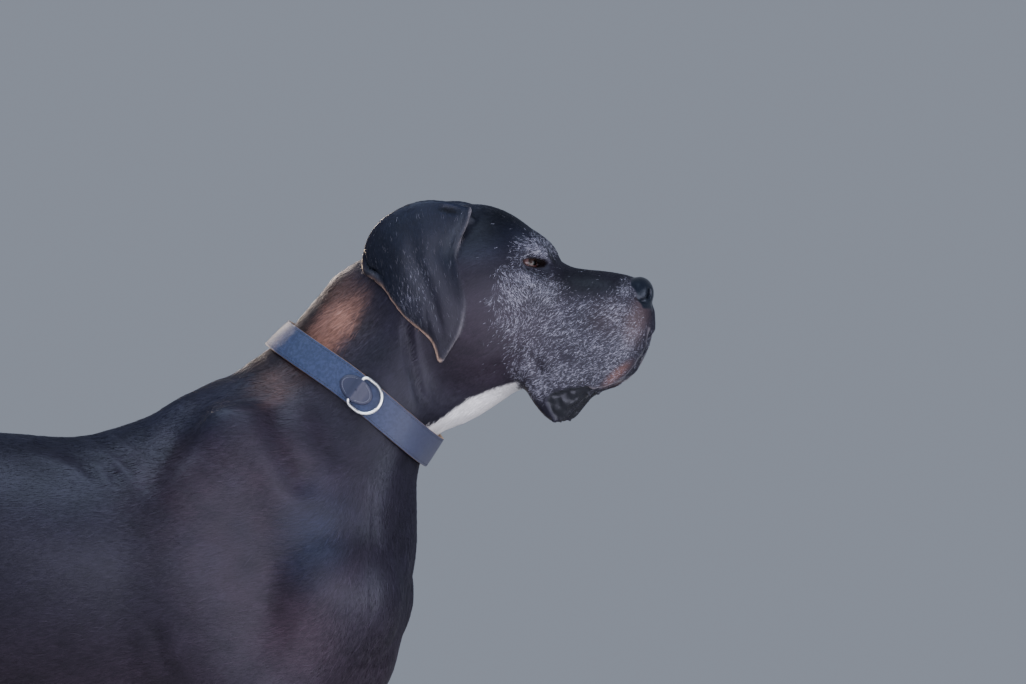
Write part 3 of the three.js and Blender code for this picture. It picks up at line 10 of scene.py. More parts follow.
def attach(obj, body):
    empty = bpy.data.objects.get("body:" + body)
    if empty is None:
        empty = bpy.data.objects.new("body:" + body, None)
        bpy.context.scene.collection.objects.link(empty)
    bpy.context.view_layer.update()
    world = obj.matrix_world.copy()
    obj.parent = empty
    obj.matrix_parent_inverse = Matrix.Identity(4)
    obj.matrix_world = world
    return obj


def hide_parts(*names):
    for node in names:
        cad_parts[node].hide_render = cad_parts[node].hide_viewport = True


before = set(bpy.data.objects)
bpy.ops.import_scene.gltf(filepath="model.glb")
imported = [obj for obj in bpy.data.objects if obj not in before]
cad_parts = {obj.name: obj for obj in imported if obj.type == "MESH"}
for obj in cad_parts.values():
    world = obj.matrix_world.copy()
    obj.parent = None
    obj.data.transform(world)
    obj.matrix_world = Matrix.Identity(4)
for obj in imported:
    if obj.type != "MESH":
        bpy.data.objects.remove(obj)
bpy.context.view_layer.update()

# A standing great dane: one skin over the CAD's flesh, a short coat of tufts, eyes, claws and a leather collar.
# Lengths are in mm in the dog's own frame (x ahead, y to its left, z up) until they are handed to Blender.
rng = np.random.default_rng(7)
SHIFT = np.array([69.65, -0.1, 0.0])      # dog frame to row frame


# ---------------------------------------------------------------- primitives
def smooth(t):
    t = np.clip(t, 0.0, 1.0)
    return t * t * (3 - 2 * t)

def interp(table, t):
    """Monotone-ish cubic (Catmull-Rom, finite difference tangents) through rows of (t, values...)."""
    T = np.array([r[0] for r in table], float)
    V = np.array([r[1:] for r in table], float)
    M = np.zeros_like(V)
    d = (V[1:] - V[:-1]) / (T[1:] - T[:-1])[:, None]
    M[0], M[-1] = d[0], d[-1]
    h = T[1:] - T[:-1]
    M[1:-1] = (d[:-1] * h[1:, None] + d[1:] * h[:-1, None]) / (h[1:] + h[:-1])[:, None]
    t = np.clip(t, T[0], T[-1])
    i = np.clip(np.searchsorted(T, t, side="right") - 1, 0, len(T) - 2)
    s = (t - T[i]) / h[i]
    hh = h[i][:, None]
    s = s[:, None]
    return ((1 + 2 * s) * (1 - s) ** 2) * V[i] + s * (1 - s) ** 2 * hh * M[i] + s * s * (3 - 2 * s) * V[i + 1] + s * s * (s - 1) * hh * M[i + 1]

def cone(p, a, ra, b, rb, fy=1.0):
    """Round cone from a to b; fy < 1 thins it sideways."""
    a = np.array(a, float); b = np.array(b, float)
    q = p - a
    if fy != 1.0:
        yc = a[1] + (b[1] - a[1]) * np.clip((q[:, 0] * (b[0] - a[0]) + q[:, 2] * (b[2] - a[2])) / ((b[0] - a[0]) ** 2 + (b[2] - a[2]) ** 2 + 1e-9), 0, 1)
        q = q.copy()
        q[:, 1] = (yc - a[1]) + (q[:, 1] + a[1] - yc) / fy
    ba = b - a
    l2 = ba @ ba
    rr = ra - rb
    a2 = l2 - rr * rr
    il2 = 1.0 / l2
    y = q @ ba
    z = y - l2
    x = q * l2 - y[:, None] * ba
    x2 = (x * x).sum(1)
    y2 = y * y * l2
    z2 = z * z * l2
    k = np.sign(rr) * rr * rr * x2
    d = (np.sqrt(x2 * a2 * il2) + y * rr) * il2 - ra
    m1 = np.sign(z) * a2 * z2 > k
    m2 = np.sign(y) * a2 * y2 < k
    d = np.where(m2, np.sqrt(x2 + y2) * il2 - ra, d)
    d = np.where(m1, np.sqrt(x2 + z2) * il2 - rb, d)
    if fy != 1.0:
        n = np.sqrt((q * q).sum(1)) + 1e-9
        d = d * (fy + (1 - fy) * 0.5)
    return d

def rotmat(pitch, yaw=0.0, roll=0.0):
    """Columns are the ellipsoid's own axes: pitch turns +x up, yaw turns +x to +y, roll turns +y up."""
    cp, sp = math.cos(math.radians(pitch)), math.sin(math.radians(pitch))
    cy, sy = math.cos(math.radians(yaw)), math.sin(math.radians(yaw))
    cr, sr = math.cos(math.radians(roll)), math.sin(math.radians(roll))
    Ry = np.array([[cp, 0, -sp], [0, 1, 0], [sp, 0, cp]])
    Rz = np.array([[cy, -sy, 0], [sy, cy, 0], [0, 0, 1]])
    Rx = np.array([[1, 0, 0], [0, cr, -sr], [0, sr, cr]])
    return Rz @ Ry @ Rx

def ellip(p, c, r, rot=None):
    q = p - np.array(c, float)
    if rot is not None:
        q = q @ rot
    r = np.array(r, float)
    u = q / r
    k0 = np.sqrt((u * u).sum(1))
    w = u / r
    k1 = np.sqrt((w * w).sum(1)) + 1e-12
    return k0 * (k0 - 1.0) / k1

def loft(p, o, ang, table, yoff=False, end=12.0):
    """Cross-sections along an axis that leaves o at angle ang above +x.  Rows: t, top, bottom, mid, half width, exponent of the top half, of the bottom half[, y centre]."""
    ca, sa = math.cos(math.radians(ang)), math.sin(math.radians(ang))
    dx, dz = p[:, 0] - o[0], p[:, 2] - o[1]
    t = ca * dx + sa * dz
    s = -sa * dx + ca * dz
    v = interp(table, t)
    top, bot, mid, w, nu, nd = (v[:, i] for i in range(6))
    y = p[:, 1] - v[:, 6] if yoff else p[:, 1]
    up = s > mid
    h = np.maximum(np.where(up, top - mid, mid - bot), 1.0)
    n = np.where(up, nu, nd)
    a = np.abs(y) / w + 1e-6
    b = np.abs(s - mid) / h + 1e-6
    an, bn = a ** n, b ** n
    q = (an + bn) ** (1 / n)
    g = q ** (1 - n) * np.sqrt((an / a / w) ** 2 + (bn / b / h) ** 2)
    d = (q - 1) / g
    t0, t1 = table[0][0], table[-1][0]
    e = np.maximum(t0 - t, t - t1)
    # rounded end
    k = end
    hh = np.maximum(k - np.abs(d - e), 0) / k
    return np.maximum(d, e) + hh * hh * k / 4

def smin(a, b, k):
    h = np.maximum(k - np.abs(a - b), 0) / k
    return np.minimum(a, b) - h * h * k / 4

def smax(a, b, k):
    h = np.maximum(k - np.abs(a - b), 0) / k
    return np.maximum(a, b) + h * h * k / 4


def spline(rows, n=4):
    """Catmull-Rom through rows of numbers, n pieces per span."""
    R = np.array(rows, float)
    Q = np.vstack([2 * R[0] - R[1], R, 2 * R[-1] - R[-2]])
    out = []
    for i in range(1, len(Q) - 2):
        for j in range(n):
            t = j / n
            out.append(0.5 * (2 * Q[i] + (Q[i + 1] - Q[i - 1]) * t + (2 * Q[i - 1] - 5 * Q[i] + 4 * Q[i + 1] - Q[i + 2]) * t * t + (3 * Q[i] - Q[i - 1] - 3 * Q[i + 1] + Q[i + 2]) * t ** 3))
    out.append(R[-1])
    return np.array(out)

def tube(p, rows, n=3):
    """Swept round mass; rows: x, y, z, radius, thinning across (y)."""
    S = spline(rows, n)
    best = None
    for a, b in zip(S[:-1], S[1:]):
        v = b - a
        l2 = v[0] ** 2 + v[1] ** 2 + v[2] ** 2
        t = np.clip(((p[:, 0] - a[0]) * v[0] + (p[:, 1] - a[1]) * v[1] + (p[:, 2] - a[2]) * v[2]) / l2, 0, 1)
        f = a[4] + t * v[4]
        dx = p[:, 0] - a[0] - t * v[0]
        dy = (p[:, 1] - a[1] - t * v[1]) / f
        dz = p[:, 2] - a[2] - t * v[2]
        n2 = dx * dx + dz * dz
        m = np.sqrt(n2 + dy * dy)
        e = (m - a[3] - t * v[3]) * (m + 1e-6) / np.sqrt(n2 + dy * dy / (f * f) + 1e-9)
        best = e if best is None else np.minimum(best, e)
    return best



# ------------------------------------------------------------------ tables
TRUNK = [  # x, top, bottom, level of greatest width, half width, exponents
    (-590, 728, 628, 682, 52, 2.0, 2.0),
    (-540, 764, 575, 684, 86, 2.0, 2.0),
    (-470, 783, 545, 684, 98, 2.1, 2.0),
    (-400, 790, 508, 674, 104, 2.1, 2.0),
    (-320, 790, 458, 650, 120, 2.1, 2.0),
    (-240, 784, 426, 625, 132, 2.0, 2.0),
    (-160, 781, 413, 615, 136, 1.9, 2.0),
    (-80, 804, 414, 612, 132, 1.8, 2.0),
    (0, 836, 422, 612, 122, 1.7, 2.0),
    (60, 822, 434, 615, 114, 1.8, 2.0),
    (130, 780, 458, 615, 98, 1.9, 2.0),
    (190, 700, 500, 610, 66, 2.0, 2.0),
]
NECK = [  # along the neck, crest side, throat side, level of greatest width, half width, exponents
    (-190, 66, -140, -20, 92, 2.0, 2.0),
    (-150, 100, -160, -20, 100, 1.9, 2.0),
    (-110, 120, -160, -15, 98, 1.8, 2.0),
    (-60, 119, -147, -8, 88, 1.8, 2.0),
    (-10, 111, -114, 0, 78, 1.9, 2.1),
    (30, 111, -108, 2, 74, 2.0, 2.1),
    (65, 112, -124, 2, 71, 2.0, 2.0),
    (90, 112, -133, 0, 69, 2.0, 2.0),
    (117, 107, -138, -5, 66, 2.0, 2.0),
    (150, 92, -136, -10, 60, 2.0, 2.0),
]
HEAD = [  # x, top, bottom, level of greatest width, half width, exponents
    (168, 958, 900, 935, 16, 2.0, 2.0),
    (200, 998, 890, 950, 42, 2.0, 2.0),
    (230, 1032, 880, 956, 60, 2.0, 2.0),
    (262, 1050, 867, 958, 69, 2.1, 2.0),
    (300, 1061, 853, 955, 73, 2.3, 2.0),
    (340, 1062, 846, 950, 73, 2.4, 2.1),
    (370, 1050, 846, 945, 68, 2.4, 2.1),
    (395, 1031, 850, 935, 60, 2.4, 2.2),
    (413, 1010, 852, 928, 53, 2.5, 2.3),
    (426, 996, 853, 922, 49.5, 2.6, 2.4),
    (441, 987, 853, 918, 47.5, 2.7, 2.4),
    (460, 983, 853, 915, 46.5, 2.9, 2.4),
    (480, 981, 855, 912, 46, 2.9, 2.4),
    (500, 978, 862, 912, 45, 2.8, 2.4),
    (518, 973, 880, 915, 40, 2.6, 2.3),
    (534, 962, 900, 920, 28, 2.2, 2.2),
]
FLEW = [  # x, top, bottom, level, half thickness, exponents, y of its middle
    (380, 884, 852, 864, 11, 2, 2, 32),
    (392, 900, 838, 862, 14, 2, 2.2, 35),
    (404, 908, 820, 862, 15, 2, 2.3, 36),
    (416, 914, 806, 862, 15, 2, 2.2, 36),
    (428, 920, 800, 862, 15, 2, 2.1, 36),
    (440, 924, 802, 864, 15, 2, 2.2, 36),
    (450, 926, 813, 866, 15, 2, 2.3, 36),
    (462, 928, 827, 870, 15, 2, 2.4, 35),
    (480, 930, 833, 876, 15, 2, 2.4, 34),
    (500, 932, 841, 884, 15, 2, 2.4, 31),
    (515, 934, 856, 892, 15, 2, 2.3, 26),
    (527, 936, 875, 903, 15, 2, 2.2, 18),
    (536, 938, 893, 913, 13, 2, 2.0, 12),
    (542, 938, 906, 920, 9, 2, 2.0, 7),
]

TOES = [  # across, knuckle ahead, tip ahead, thickness
    (-31, 26, 48, 0.92),
    (-11, 36, 66, 1.0),
    (11, 36, 66, 1.0),
    (31, 26, 48, 0.92),
]

def toes(side, cx, s):
    """Four toes and the pad of a paw whose wrist end is at cx."""
    out = []
    for yo, xk, xt, w in TOES:
        y0 = side + yo * 0.82 * s
        y1 = side + yo * s
        out.append(("cone", 7, (cx - 12, y0, 44 * s), 17 * s * w, (cx + xk * s, y1, 35 * s), 16.5 * s * w, 1))
        out.append(("cone", 5, (cx + xk * s, y1, 34 * s), 16 * s * w, (cx + xt * s - 12, y1, 17 * s), 15 * s * w, 1))
        out.append(("ell", 4, (cx + (xt - 16) * s, y1, 9 * s), (17 * s, 12 * s * w, 11 * s), (0, 0, 0)))
    out.append(("ell", 8, (cx + 2 * s, side, 13 * s), (27 * s, 27 * s, 15 * s), (0, 0, 0)))
    return out

BODY = [
    ("loft", 0, (0, 0), 0, TRUNK, False, 60),
    # forechest and breast
    ("ell", 60, (119, 0, 598), (116, 92, 166), (8, 0, 0)),
    ("ell", 26, (168, 38, 575), (56, 42, 100), (6, 0, 0)),
    ("cone", 40, (166, 30, 492), 38, (10, 30, 474), 44, 1),
    ("ell", 26, (206, 16, 648), (38, 36, 50), (12, 0, 0)),
    # withers, shoulder blade, upper arm
    ("ell", 26, (-4, 20, 802), (62, 22, 32), (20, 0, 0)),
    ("ell", 64, (100, 76, 700), (60, 32, 138), (37, 0, -10)),
    ("ell", 60, (170, 80, 596), (50, 36, 50), (0, 0, 0)),
    ("tube", 50, [(160, 86, 580, 52, .8), (110, 92, 500, 52, .8), (66, 94, 440, 46, .84)]),
    ("tube", 50, [(-10, 84, 690, 50, .7), (0, 90, 600, 62, .66), (14, 92, 510, 54, .66), (22, 92, 448, 36, .72)]),
    ("ell", 16, (9, 92, 442), (20, 16, 26), (0, 0, 0)),
    # forearm, wrist, pastern
    ("tube", 26, [(60, 92, 450, 46, .82), (54, 91, 400, 47, .84), (52, 89, 350, 41, .84), (54, 87, 290, 33, .88), (59, 86, 230, 28, .92), (62, 85, 188, 29, .96), (63, 85, 156, 29, .96), (66, 85, 124, 25.5, 1), (72, 85, 92, 25, 1), (80, 85, 64, 27, 1)]),
    ("ell", 10, (38, 86, 158), (12, 10, 17), (0, 0, 0)),
    ("cone", 6, (60, 62, 150), 8, (68, 59, 124), 9, 1),
    ("ell", 14, (94, 85, 42), (38, 35, 29), (-10, 0, 0)),
] + toes(85, 88, 1.0) + [
    # croup and hip
    ("ell", 36, (-428, 58, 750), (46, 26, 28), (0, 0, 0)),
    ("ell", 34, (-590, 44, 690), (34, 34, 44), (0, 0, 0)),
    # thigh, hamstrings, knee
    ("tube", 50, [(-500, 66, 668, 84, .56), (-486, 80, 610, 96, .56), (-458, 92, 540, 88, .56), (-424, 97, 470, 62, .62)]),
    ("tube", 40, [(-568, 66, 670, 48, .8), (-566, 78, 590, 52, .72), (-546, 86, 500, 46, .68), (-512, 90, 424, 36, .66)]),
    ("tube", 26, [(-420, 95, 490, 52, .72), (-405, 97, 448, 47, .74), (-412, 96, 414, 44, .74)]),
    ("cone", 34, (-330, 66, 548), 26, (-392, 90, 484), 34, 0.7),
    # second thigh, heel string, hock
    ("tube", 30, [(-424, 95, 440, 54, .68), (-462, 93, 388, 54, .66), (-512, 90, 330, 42, .68), (-562, 87, 275, 30, .74), (-594, 85, 236, 27, .84), (-601, 85, 200, 25, .9), (-602, 85, 150, 22, 1), (-600, 85, 104, 21, 1), (-596, 85, 70, 24, 1)]),
    ("tube", 24, [(-508, 88, 420, 34, .62), (-560, 88, 340, 20, .6), (-614, 86, 276, 11, .8), (-630, 85, 256, 13, .9), (-624, 85, 226, 14, .9), (-614, 85, 200, 14, .9)]),
    ("ell", 14, (-580, 85, 38), (36, 32, 27), (-10, 0, 0)),
] + toes(85, -588, 0.92) + [
    # tail
    ("tube", 24, [(-560, 0, 724, 36, 1), (-606, 0, 700, 30, 1), (-634, 0, 640, 25, 1), (-646, 0, 560, 20.5, 1), (-652, 0, 470, 17, 1), (-652, 0, 380, 13.5, 1), (-656, 0, 300, 10.5, 1), (-668, 0, 242, 7.5, 1)]),
    # neck
    ("loft", 46, (177, 834), 48, NECK, False, 40),
    ("tube", 40, [(262, 40, 905, 32, .9), (215, 52, 800, 38, .8), (168, 62, 690, 48, .8)]),
    # head
    ("loft", 34, (0, 0), 0, HEAD, False, 14),
    ("ell", 15, (399.5, 28.5, 1008), (25, 18, 15), (-40, 0, 0)),      # brow
    ("ell", 40, (345, 52, 958), (64, 18, 26), (6, 0, 0)),         # cheek arch
    ("ell", 36, (320, 48, 905), (48, 24, 44), (0, 0, 0)),         # jaw muscle
    ("tube", 16, [(330, 16, 868, 26, 1), (400, 15, 868, 24, 1), (470, 13, 868, 22, 1), (508, 9, 870, 19, 1)]),      # lower jaw
    ("loft", 16, (0, 0), 0, FLEW, True, 6),
    ("ell", 5, (527, 0, 954), (17, 23, 20), (0, 0, 0)),         # nose pad
    ("ell", 14, (282, 50, 1038), (42, 14, 20), (14, 0, 0)),       # root of the ear
    ("ell", 10, (528, 0, 916), (13, 16, 26), (0, 0, 0)),           # front of the upper lip
    ("cut", 10, ("ell", 0, (411, 54, 990), (17, 15, 11), (-10, 0, 0))),   # hollow of the eye
    ("ell", 4, (394, 33, 991.5), (15, 15, 15), (0, 0, 0)),    # lids
]

def prim_box(m):
    kind, k = m[0], m[1]
    if kind == "cut":
        return prim_box(m[2])
    if kind == "tube":
        R = np.array(m[2], float)
        return (R[:, :3] - R[:, 3:4]).min(0) - 3, (R[:, :3] + R[:, 3:4]).max(0) + 3
    if kind == "cone":
        a, ra, b, rb = np.array(m[2], float), m[3], np.array(m[4], float), m[5]
        r = max(ra, rb)
        return np.minimum(a, b) - r, np.maximum(a, b) + r
    if kind == "ell":
        c, r = np.array(m[2], float), max(m[3])
        R = rotmat(*m[4])
        e = np.sqrt(((R * np.array(m[3], float)) ** 2).sum(1))
        return c - e, c + e
    o, ang, tb, yo = m[2], m[3], m[4], m[5]
    ca, sa = math.cos(math.radians(ang)), math.sin(math.radians(ang))
    P = []
    W = 0
    for r in tb:
        for s in (r[1], r[2]):
            P.append((o[0] + ca * r[0] - sa * s, o[1] + sa * r[0] + ca * s))
        W = max(W, r[4] + (r[7] if yo else 0))
    P = np.array(P)
    return np.array([P[:, 0].min(), -W, P[:, 1].min()]) - 2, np.array([P[:, 0].max(), W, P[:, 1].max()]) + 2

def prim(m, p):
    if m[0] == "cone":
        return cone(p, m[2], m[3], m[4], m[5], m[6])
    if m[0] == "tube":
        return tube(p, m[2])
    if m[0] == "ell":
        return ellip(p, m[2], m[3], rotmat(*m[4]))
    return loft(p, m[2], m[3], m[4], m[5], m[6])

BOXES = [prim_box(m) for m in BODY]

def body(p, band=30.0):
    """Distance to the symmetric, unposed dog."""
    q = p.copy()
    q[:, 1] = np.abs(q[:, 1])
    d = np.full(len(q), 1e3)
    for m, (lo, hi) in zip(BODY, BOXES):
        g = m[1] + band
        sel = np.nonzero(((q > lo - g) & (q < hi + g)).all(1))[0]
        if len(sel):
            k = m[1]
            if m[0] == "cut":
                d[sel] = smax(d[sel], -prim(m[2], q[sel]), k)
                continue
            e = prim(m, q[sel])
            # pairs meet themselves across the middle
            d[sel] = smin(d[sel], e, k) if k else np.minimum(d[sel], e)
    return d

# -------------------------------------------------------------------- ears
EAR_TOP = [(330, 60, 1058), (316, 66, 1061), (294, 70, 1066.5), (268, 71, 1065.5), (243.5, 69, 1056.5), (221, 66, 1042.5), (206.5, 63, 1024.5), (200, 60, 1007), (198, 58, 995)]          # crest, front to rear
EAR_FRONT = [(330, 60, 1058), (326, 66, 1042), (319, 71, 1025), (313, 74, 1010), (312, 76, 997), (316, 78, 982), (322, 80, 963), (325, 82, 947), (323, 83.5, 932), (319, 84.5, 913), (312, 85, 898), (303, 85, 884), (297, 85, 875)]
EAR_REAR = [(198, 58, 995), (201, 64, 982), (214, 70, 975), (228, 76, 961), (239, 80, 945.5), (252, 84, 929), (264, 86, 919), (278, 87, 908), (287, 87, 897), (291, 86, 884), (292, 85.5, 875)]
EAR_BULGE = 9.0      # how far the middle of the flap stands out
EAR_FOLD = 8.0       # width of the fold at the crest
EAR_HALF = 2.1       # half its thickness, without coat

def along(rows, t):
    """Point of the polyline-spline at t in 0..1 by length."""
    S = spline([r + (0,) for r in rows], 6)[:, :3]
    L = np.r_[0, np.cumsum(np.sqrt(((S[1:] - S[:-1]) ** 2).sum(1)))]
    L /= L[-1]
    return np.stack([np.interp(t, L, S[:, i]) for i in range(3)], -1)

def ear_sheet(nu=24, nv=18):
    """Middle surface: root in the skull, crest, then the hanging flap.  Rows by u, columns front to rear."""
    v = np.linspace(0, 1, nv)
    top = along(EAR_TOP, v)
    rows = []
    # from inside the skull up to the crest
    for w in (0.0, 0.15, 0.3, 0.45, 0.6, 0.75, 0.88):
        p = top.copy()
        p[:, 0] += (v - 0.5) * 10 * (1 - w)
        p[:, 1] -= EAR_FOLD * (1 - math.sin(math.pi / 2 * w)) + 14 * (1 - w)
        p[:, 2] -= 26 * (1 - w) ** 1.4
        rows.append(p)
    for u in np.linspace(0, 1, nu):
        f = along(EAR_FRONT, np.array([u]))[0]
        r = along(EAR_REAR, np.array([u]))[0]
        p = f + (r - f) * v[:, None]
        t0 = top[0] + (top[-1] - top[0]) * v[:, None]
        p = p + (top - t0) * ((1 - u) ** 1.7)
        b = np.sin(np.pi * v) ** 0.8 * EAR_BULGE * (0.35 + 0.65 * math.sin(math.pi * min(1, u * 1.15)) ** 0.7) * (1 - 0.55 * u)
        crease = np.exp(-((v - 0.42 - 0.1 * u) / 0.1) ** 2) * 3.2 * math.sin(math.pi * min(1, u * 1.1))
        p[:, 1] += b - crease
        # front edge turned in below the crest
        p[:, 1] -= np.exp(-(v / 0.1) ** 2) * 6 * math.exp(-((u - 0.28) / 0.16) ** 2)
        rows.append(p)
    return np.array(rows)

# ------------------------------------------------------------------- pose
NECK_O = np.array([177.0, 834.0])
NECK_A = np.array([math.cos(math.radians(48)), math.sin(math.radians(48))])
PIVOT = np.array([250.0, 0.0, 950.0])
STANCE = (-34.0, 14.0, 12.0, -26.0)   # feet ahead of square: fore left, fore right, hind left, hind right
HEAD_YAW, HEAD_ROLL = -5.0, 3.0     # degrees: toward its right; far side lower

def pose_weight(p):
    t = (p[:, 0] - NECK_O[0]) * NECK_A[0] + (p[:, 2] - NECK_O[1]) * NECK_A[1]
    return smooth((t - 35) / 90)

def unpose(p):
    """Point of the standing dog back to the symmetric one."""
    w = pose_weight(p)
    q = p - PIVOT
    yaw = -np.radians(HEAD_YAW) * w
    c, s = np.cos(yaw), np.sin(yaw)
    x = q[:, 0] * c - q[:, 1] * s
    y = q[:, 0] * s + q[:, 1] * c
    z = q[:, 2]
    r = -np.radians(HEAD_ROLL) * w
    c, s = np.cos(r), np.sin(r)
    q = np.stack([x, y * c - z * s, y * s + z * c], 1) + PIVOT
    # stance: left fore a little back, right hind a little forward
    lw = smooth((560 - q[:, 2]) / 520)
    fore = smooth((q[:, 0] + 250) / 120)
    left = smooth((q[:, 1] + 25) / 50)
    q[:, 0] -= lw * (fore * (left * STANCE[0] + (1 - left) * STANCE[1]) + (1 - fore) * (left * STANCE[2] + (1 - left) * STANCE[3]))
    return q

def field(p, band=30.0):
    return body(unpose(p), band)


def pose(q):
    """Point of the symmetric dog to the standing one (fixed-point inverse of unpose)."""
    p = q.copy()
    for _ in range(12):
        p = p + (q - unpose(p))
    return p


# ---------------------------------------------------------------- surface nets
def axes_of(spec):
    """A graded axis from (start, step) pairs and an end."""
    out = [spec[0][0]]
    for i, (s, h) in enumerate(spec[:-1]):
        e = spec[i + 1][0]
        n = max(1, int(round((e - s) / h)))
        out += list(s + (e - s) * np.arange(1, n + 1) / n)
    return np.array(out, float)

def trilinear(cv, t, h):
    """Value and slope inside a cell from its 8 corner values."""
    x, y, z = t.T
    c = cv.T
    a00, a01, a10, a11 = (c[i] * (1 - x) + c[i + 4] * x for i in (0, 1, 2, 3))
    g = [(c[i + 4] - c[i]) for i in (0, 1, 2, 3)]
    b0, b1 = a00 * (1 - y) + a10 * y, a01 * (1 - y) + a11 * y
    v = b0 * (1 - z) + b1 * z
    gx = ((g[0] * (1 - y) + g[2] * y) * (1 - z) + (g[1] * (1 - y) + g[3] * y) * z) / h[:, 0]
    gy = ((a10 - a00) * (1 - z) + (a11 - a01) * z) / h[:, 1]
    gz = (b1 - b0) / h[:, 2]
    return v, np.stack([gx, gy, gz], 1)

def nets(f, ax, coarse=4):
    """Surface nets on a graded grid; f is worked out only near its surface."""
    nx, ny, nz = (len(a) for a in ax)
    ci = [np.unique(np.r_[np.arange(0, n, coarse), n - 1]) for n in (nx, ny, nz)]
    G = np.stack(np.meshgrid(ax[0][ci[0]], ax[1][ci[1]], ax[2][ci[2]], indexing="ij"), -1)
    D = f(G.reshape(-1, 3), 60.0).reshape(G.shape[:3])
    hb = [np.diff(ax[a][ci[a]]) for a in range(3)]
    diag = np.sqrt(hb[0][:, None, None] ** 2 + hb[1][None, :, None] ** 2 + hb[2][None, None, :] ** 2)
    mn = np.full(diag.shape, 1e9); mx = np.full(diag.shape, -1e9); ab = np.full(diag.shape, 1e9)
    for i in (0, 1):
        for j in (0, 1):
            for k in (0, 1):
                v = D[i:i + diag.shape[0], j:j + diag.shape[1], k:k + diag.shape[2]]
                mn = np.minimum(mn, v); mx = np.maximum(mx, v); ab = np.minimum(ab, np.abs(v))
    act = (mn < 0) & (mx > 0) | (ab < diag * 0.75)
    V = np.full((nx, ny, nz), np.nan)
    mask = np.zeros((nx, ny, nz), bool)
    for b in np.argwhere(act):
        mask[ci[0][b[0]]:ci[0][b[0] + 1] + 1, ci[1][b[1]]:ci[1][b[1] + 1] + 1, ci[2][b[2]]:ci[2][b[2] + 1] + 1] = True
    idx = np.argwhere(mask)
    pts = np.stack([ax[0][idx[:, 0]], ax[1][idx[:, 1]], ax[2][idx[:, 2]]], 1)
    V[mask] = np.concatenate([f(pts[i:i + 300000]) for i in range(0, len(pts), 300000)])
    C = np.stack([V[i:nx - 1 + i, j:ny - 1 + j, k:nz - 1 + k] for i in (0, 1) for j in (0, 1) for k in (0, 1)], -1)
    neg = (C < 0).sum(-1)
    cell = np.isfinite(C).all(-1) & (neg > 0) & (neg < 8)
    ce = np.argwhere(cell)
    cid = -np.ones(cell.shape, np.int64)
    cid[cell] = np.arange(len(ce))
    cv = C[cell]
    lo = np.stack([ax[0][ce[:, 0]], ax[1][ce[:, 1]], ax[2][ce[:, 2]]], 1)
    h = np.stack([ax[0][ce[:, 0] + 1], ax[1][ce[:, 1] + 1], ax[2][ce[:, 2] + 1]], 1) - lo
    corner = np.array([(i, j, k) for i in (0, 1) for j in (0, 1) for k in (0, 1)], float)
    acc = np.zeros((len(ce), 3)); cnt = np.zeros(len(ce))
    for a in range(8):
        for b in range(a + 1, 8):
            if (corner[a] != corner[b]).sum() == 1:
                va, vb = cv[:, a], cv[:, b]
                m = (va < 0) != (vb < 0)
                t = np.where(m, va / np.where(m, va - vb, 1), 0)
                acc += m[:, None] * (corner[a] + t[:, None] * (corner[b] - corner[a]))
                cnt += m
    t = acc / cnt[:, None]
    for _ in range(2):
        v, g = trilinear(cv, t, h)
        t = np.clip(t - 0.8 * (v / ((g * g).sum(1) + 1e-6))[:, None] * g / h, 0, 1)
    P = lo + h * t
    quads = []
    for a in range(3):
        b, c = (a + 1) % 3, (a + 2) % 3
        s0, s1 = [slice(None)] * 3, [slice(None)] * 3
        s0[a] = slice(0, -1); s1[a] = slice(1, None)
        v0, v1 = V[tuple(s0)], V[tuple(s1)]
        e = np.argwhere(np.isfinite(v0) & np.isfinite(v1) & ((v0 < 0) != (v1 < 0)))
        e = e[(e[:, b] > 0) & (e[:, c] > 0) & (e[:, b] < V.shape[b] - 1) & (e[:, c] < V.shape[c] - 1)]
        inside = v0[tuple(e.T)] < 0
        ids = []
        for db, dc in ((1, 1), (0, 1), (0, 0), (1, 0)):
            q = e.copy(); q[:, b] -= db; q[:, c] -= dc
            ids.append(cid[tuple(q.T)])
        q = np.stack(ids, 1)
        q[~inside] = q[~inside][:, ::-1]
        quads.append(q[(q >= 0).all(1)])
    return P, np.concatenate(quads)


# ------------------------------------------------------------ eyes in the head
EYE_C = np.array([394.0, 33.0, 991.5])
EYE_R = 12.5
EYE_SIDE, EYE_UP = 40.0, 4.0
_c, _s = math.cos(math.radians(EYE_SIDE)), math.sin(math.radians(EYE_SIDE))
_u, _v = math.cos(math.radians(EYE_UP)), math.sin(math.radians(EYE_UP))
LOOK = np.array([_c * _u, _s * _u, _v])
INNER = np.array([_s, -_c, -0.16]); INNER -= LOOK * (INNER @ LOOK); INNER /= np.linalg.norm(INNER)   # toward the inner corner
LIDUP = np.cross(INNER, LOOK); LIDUP *= np.sign(LIDUP[2])
SLIT = 14.6        # half the length of the opening between the lids
SLIT_UP, SLIT_LOW = 4.6, 5.4

def slit(q):
    """Below 0 inside the opening between the lids, in mm; q is the unposed dog's left side."""
    r = q - EYE_C
    a, b, w = r @ INNER, r @ LIDUP, r @ LOOK
    h = np.where(b > 0, SLIT_UP, SLIT_LOW)
    e = (np.abs(a / SLIT) ** 1.7 + np.abs(b / h) ** 2) ** 0.5
    return (e - 1) * 5.0, a, b, w

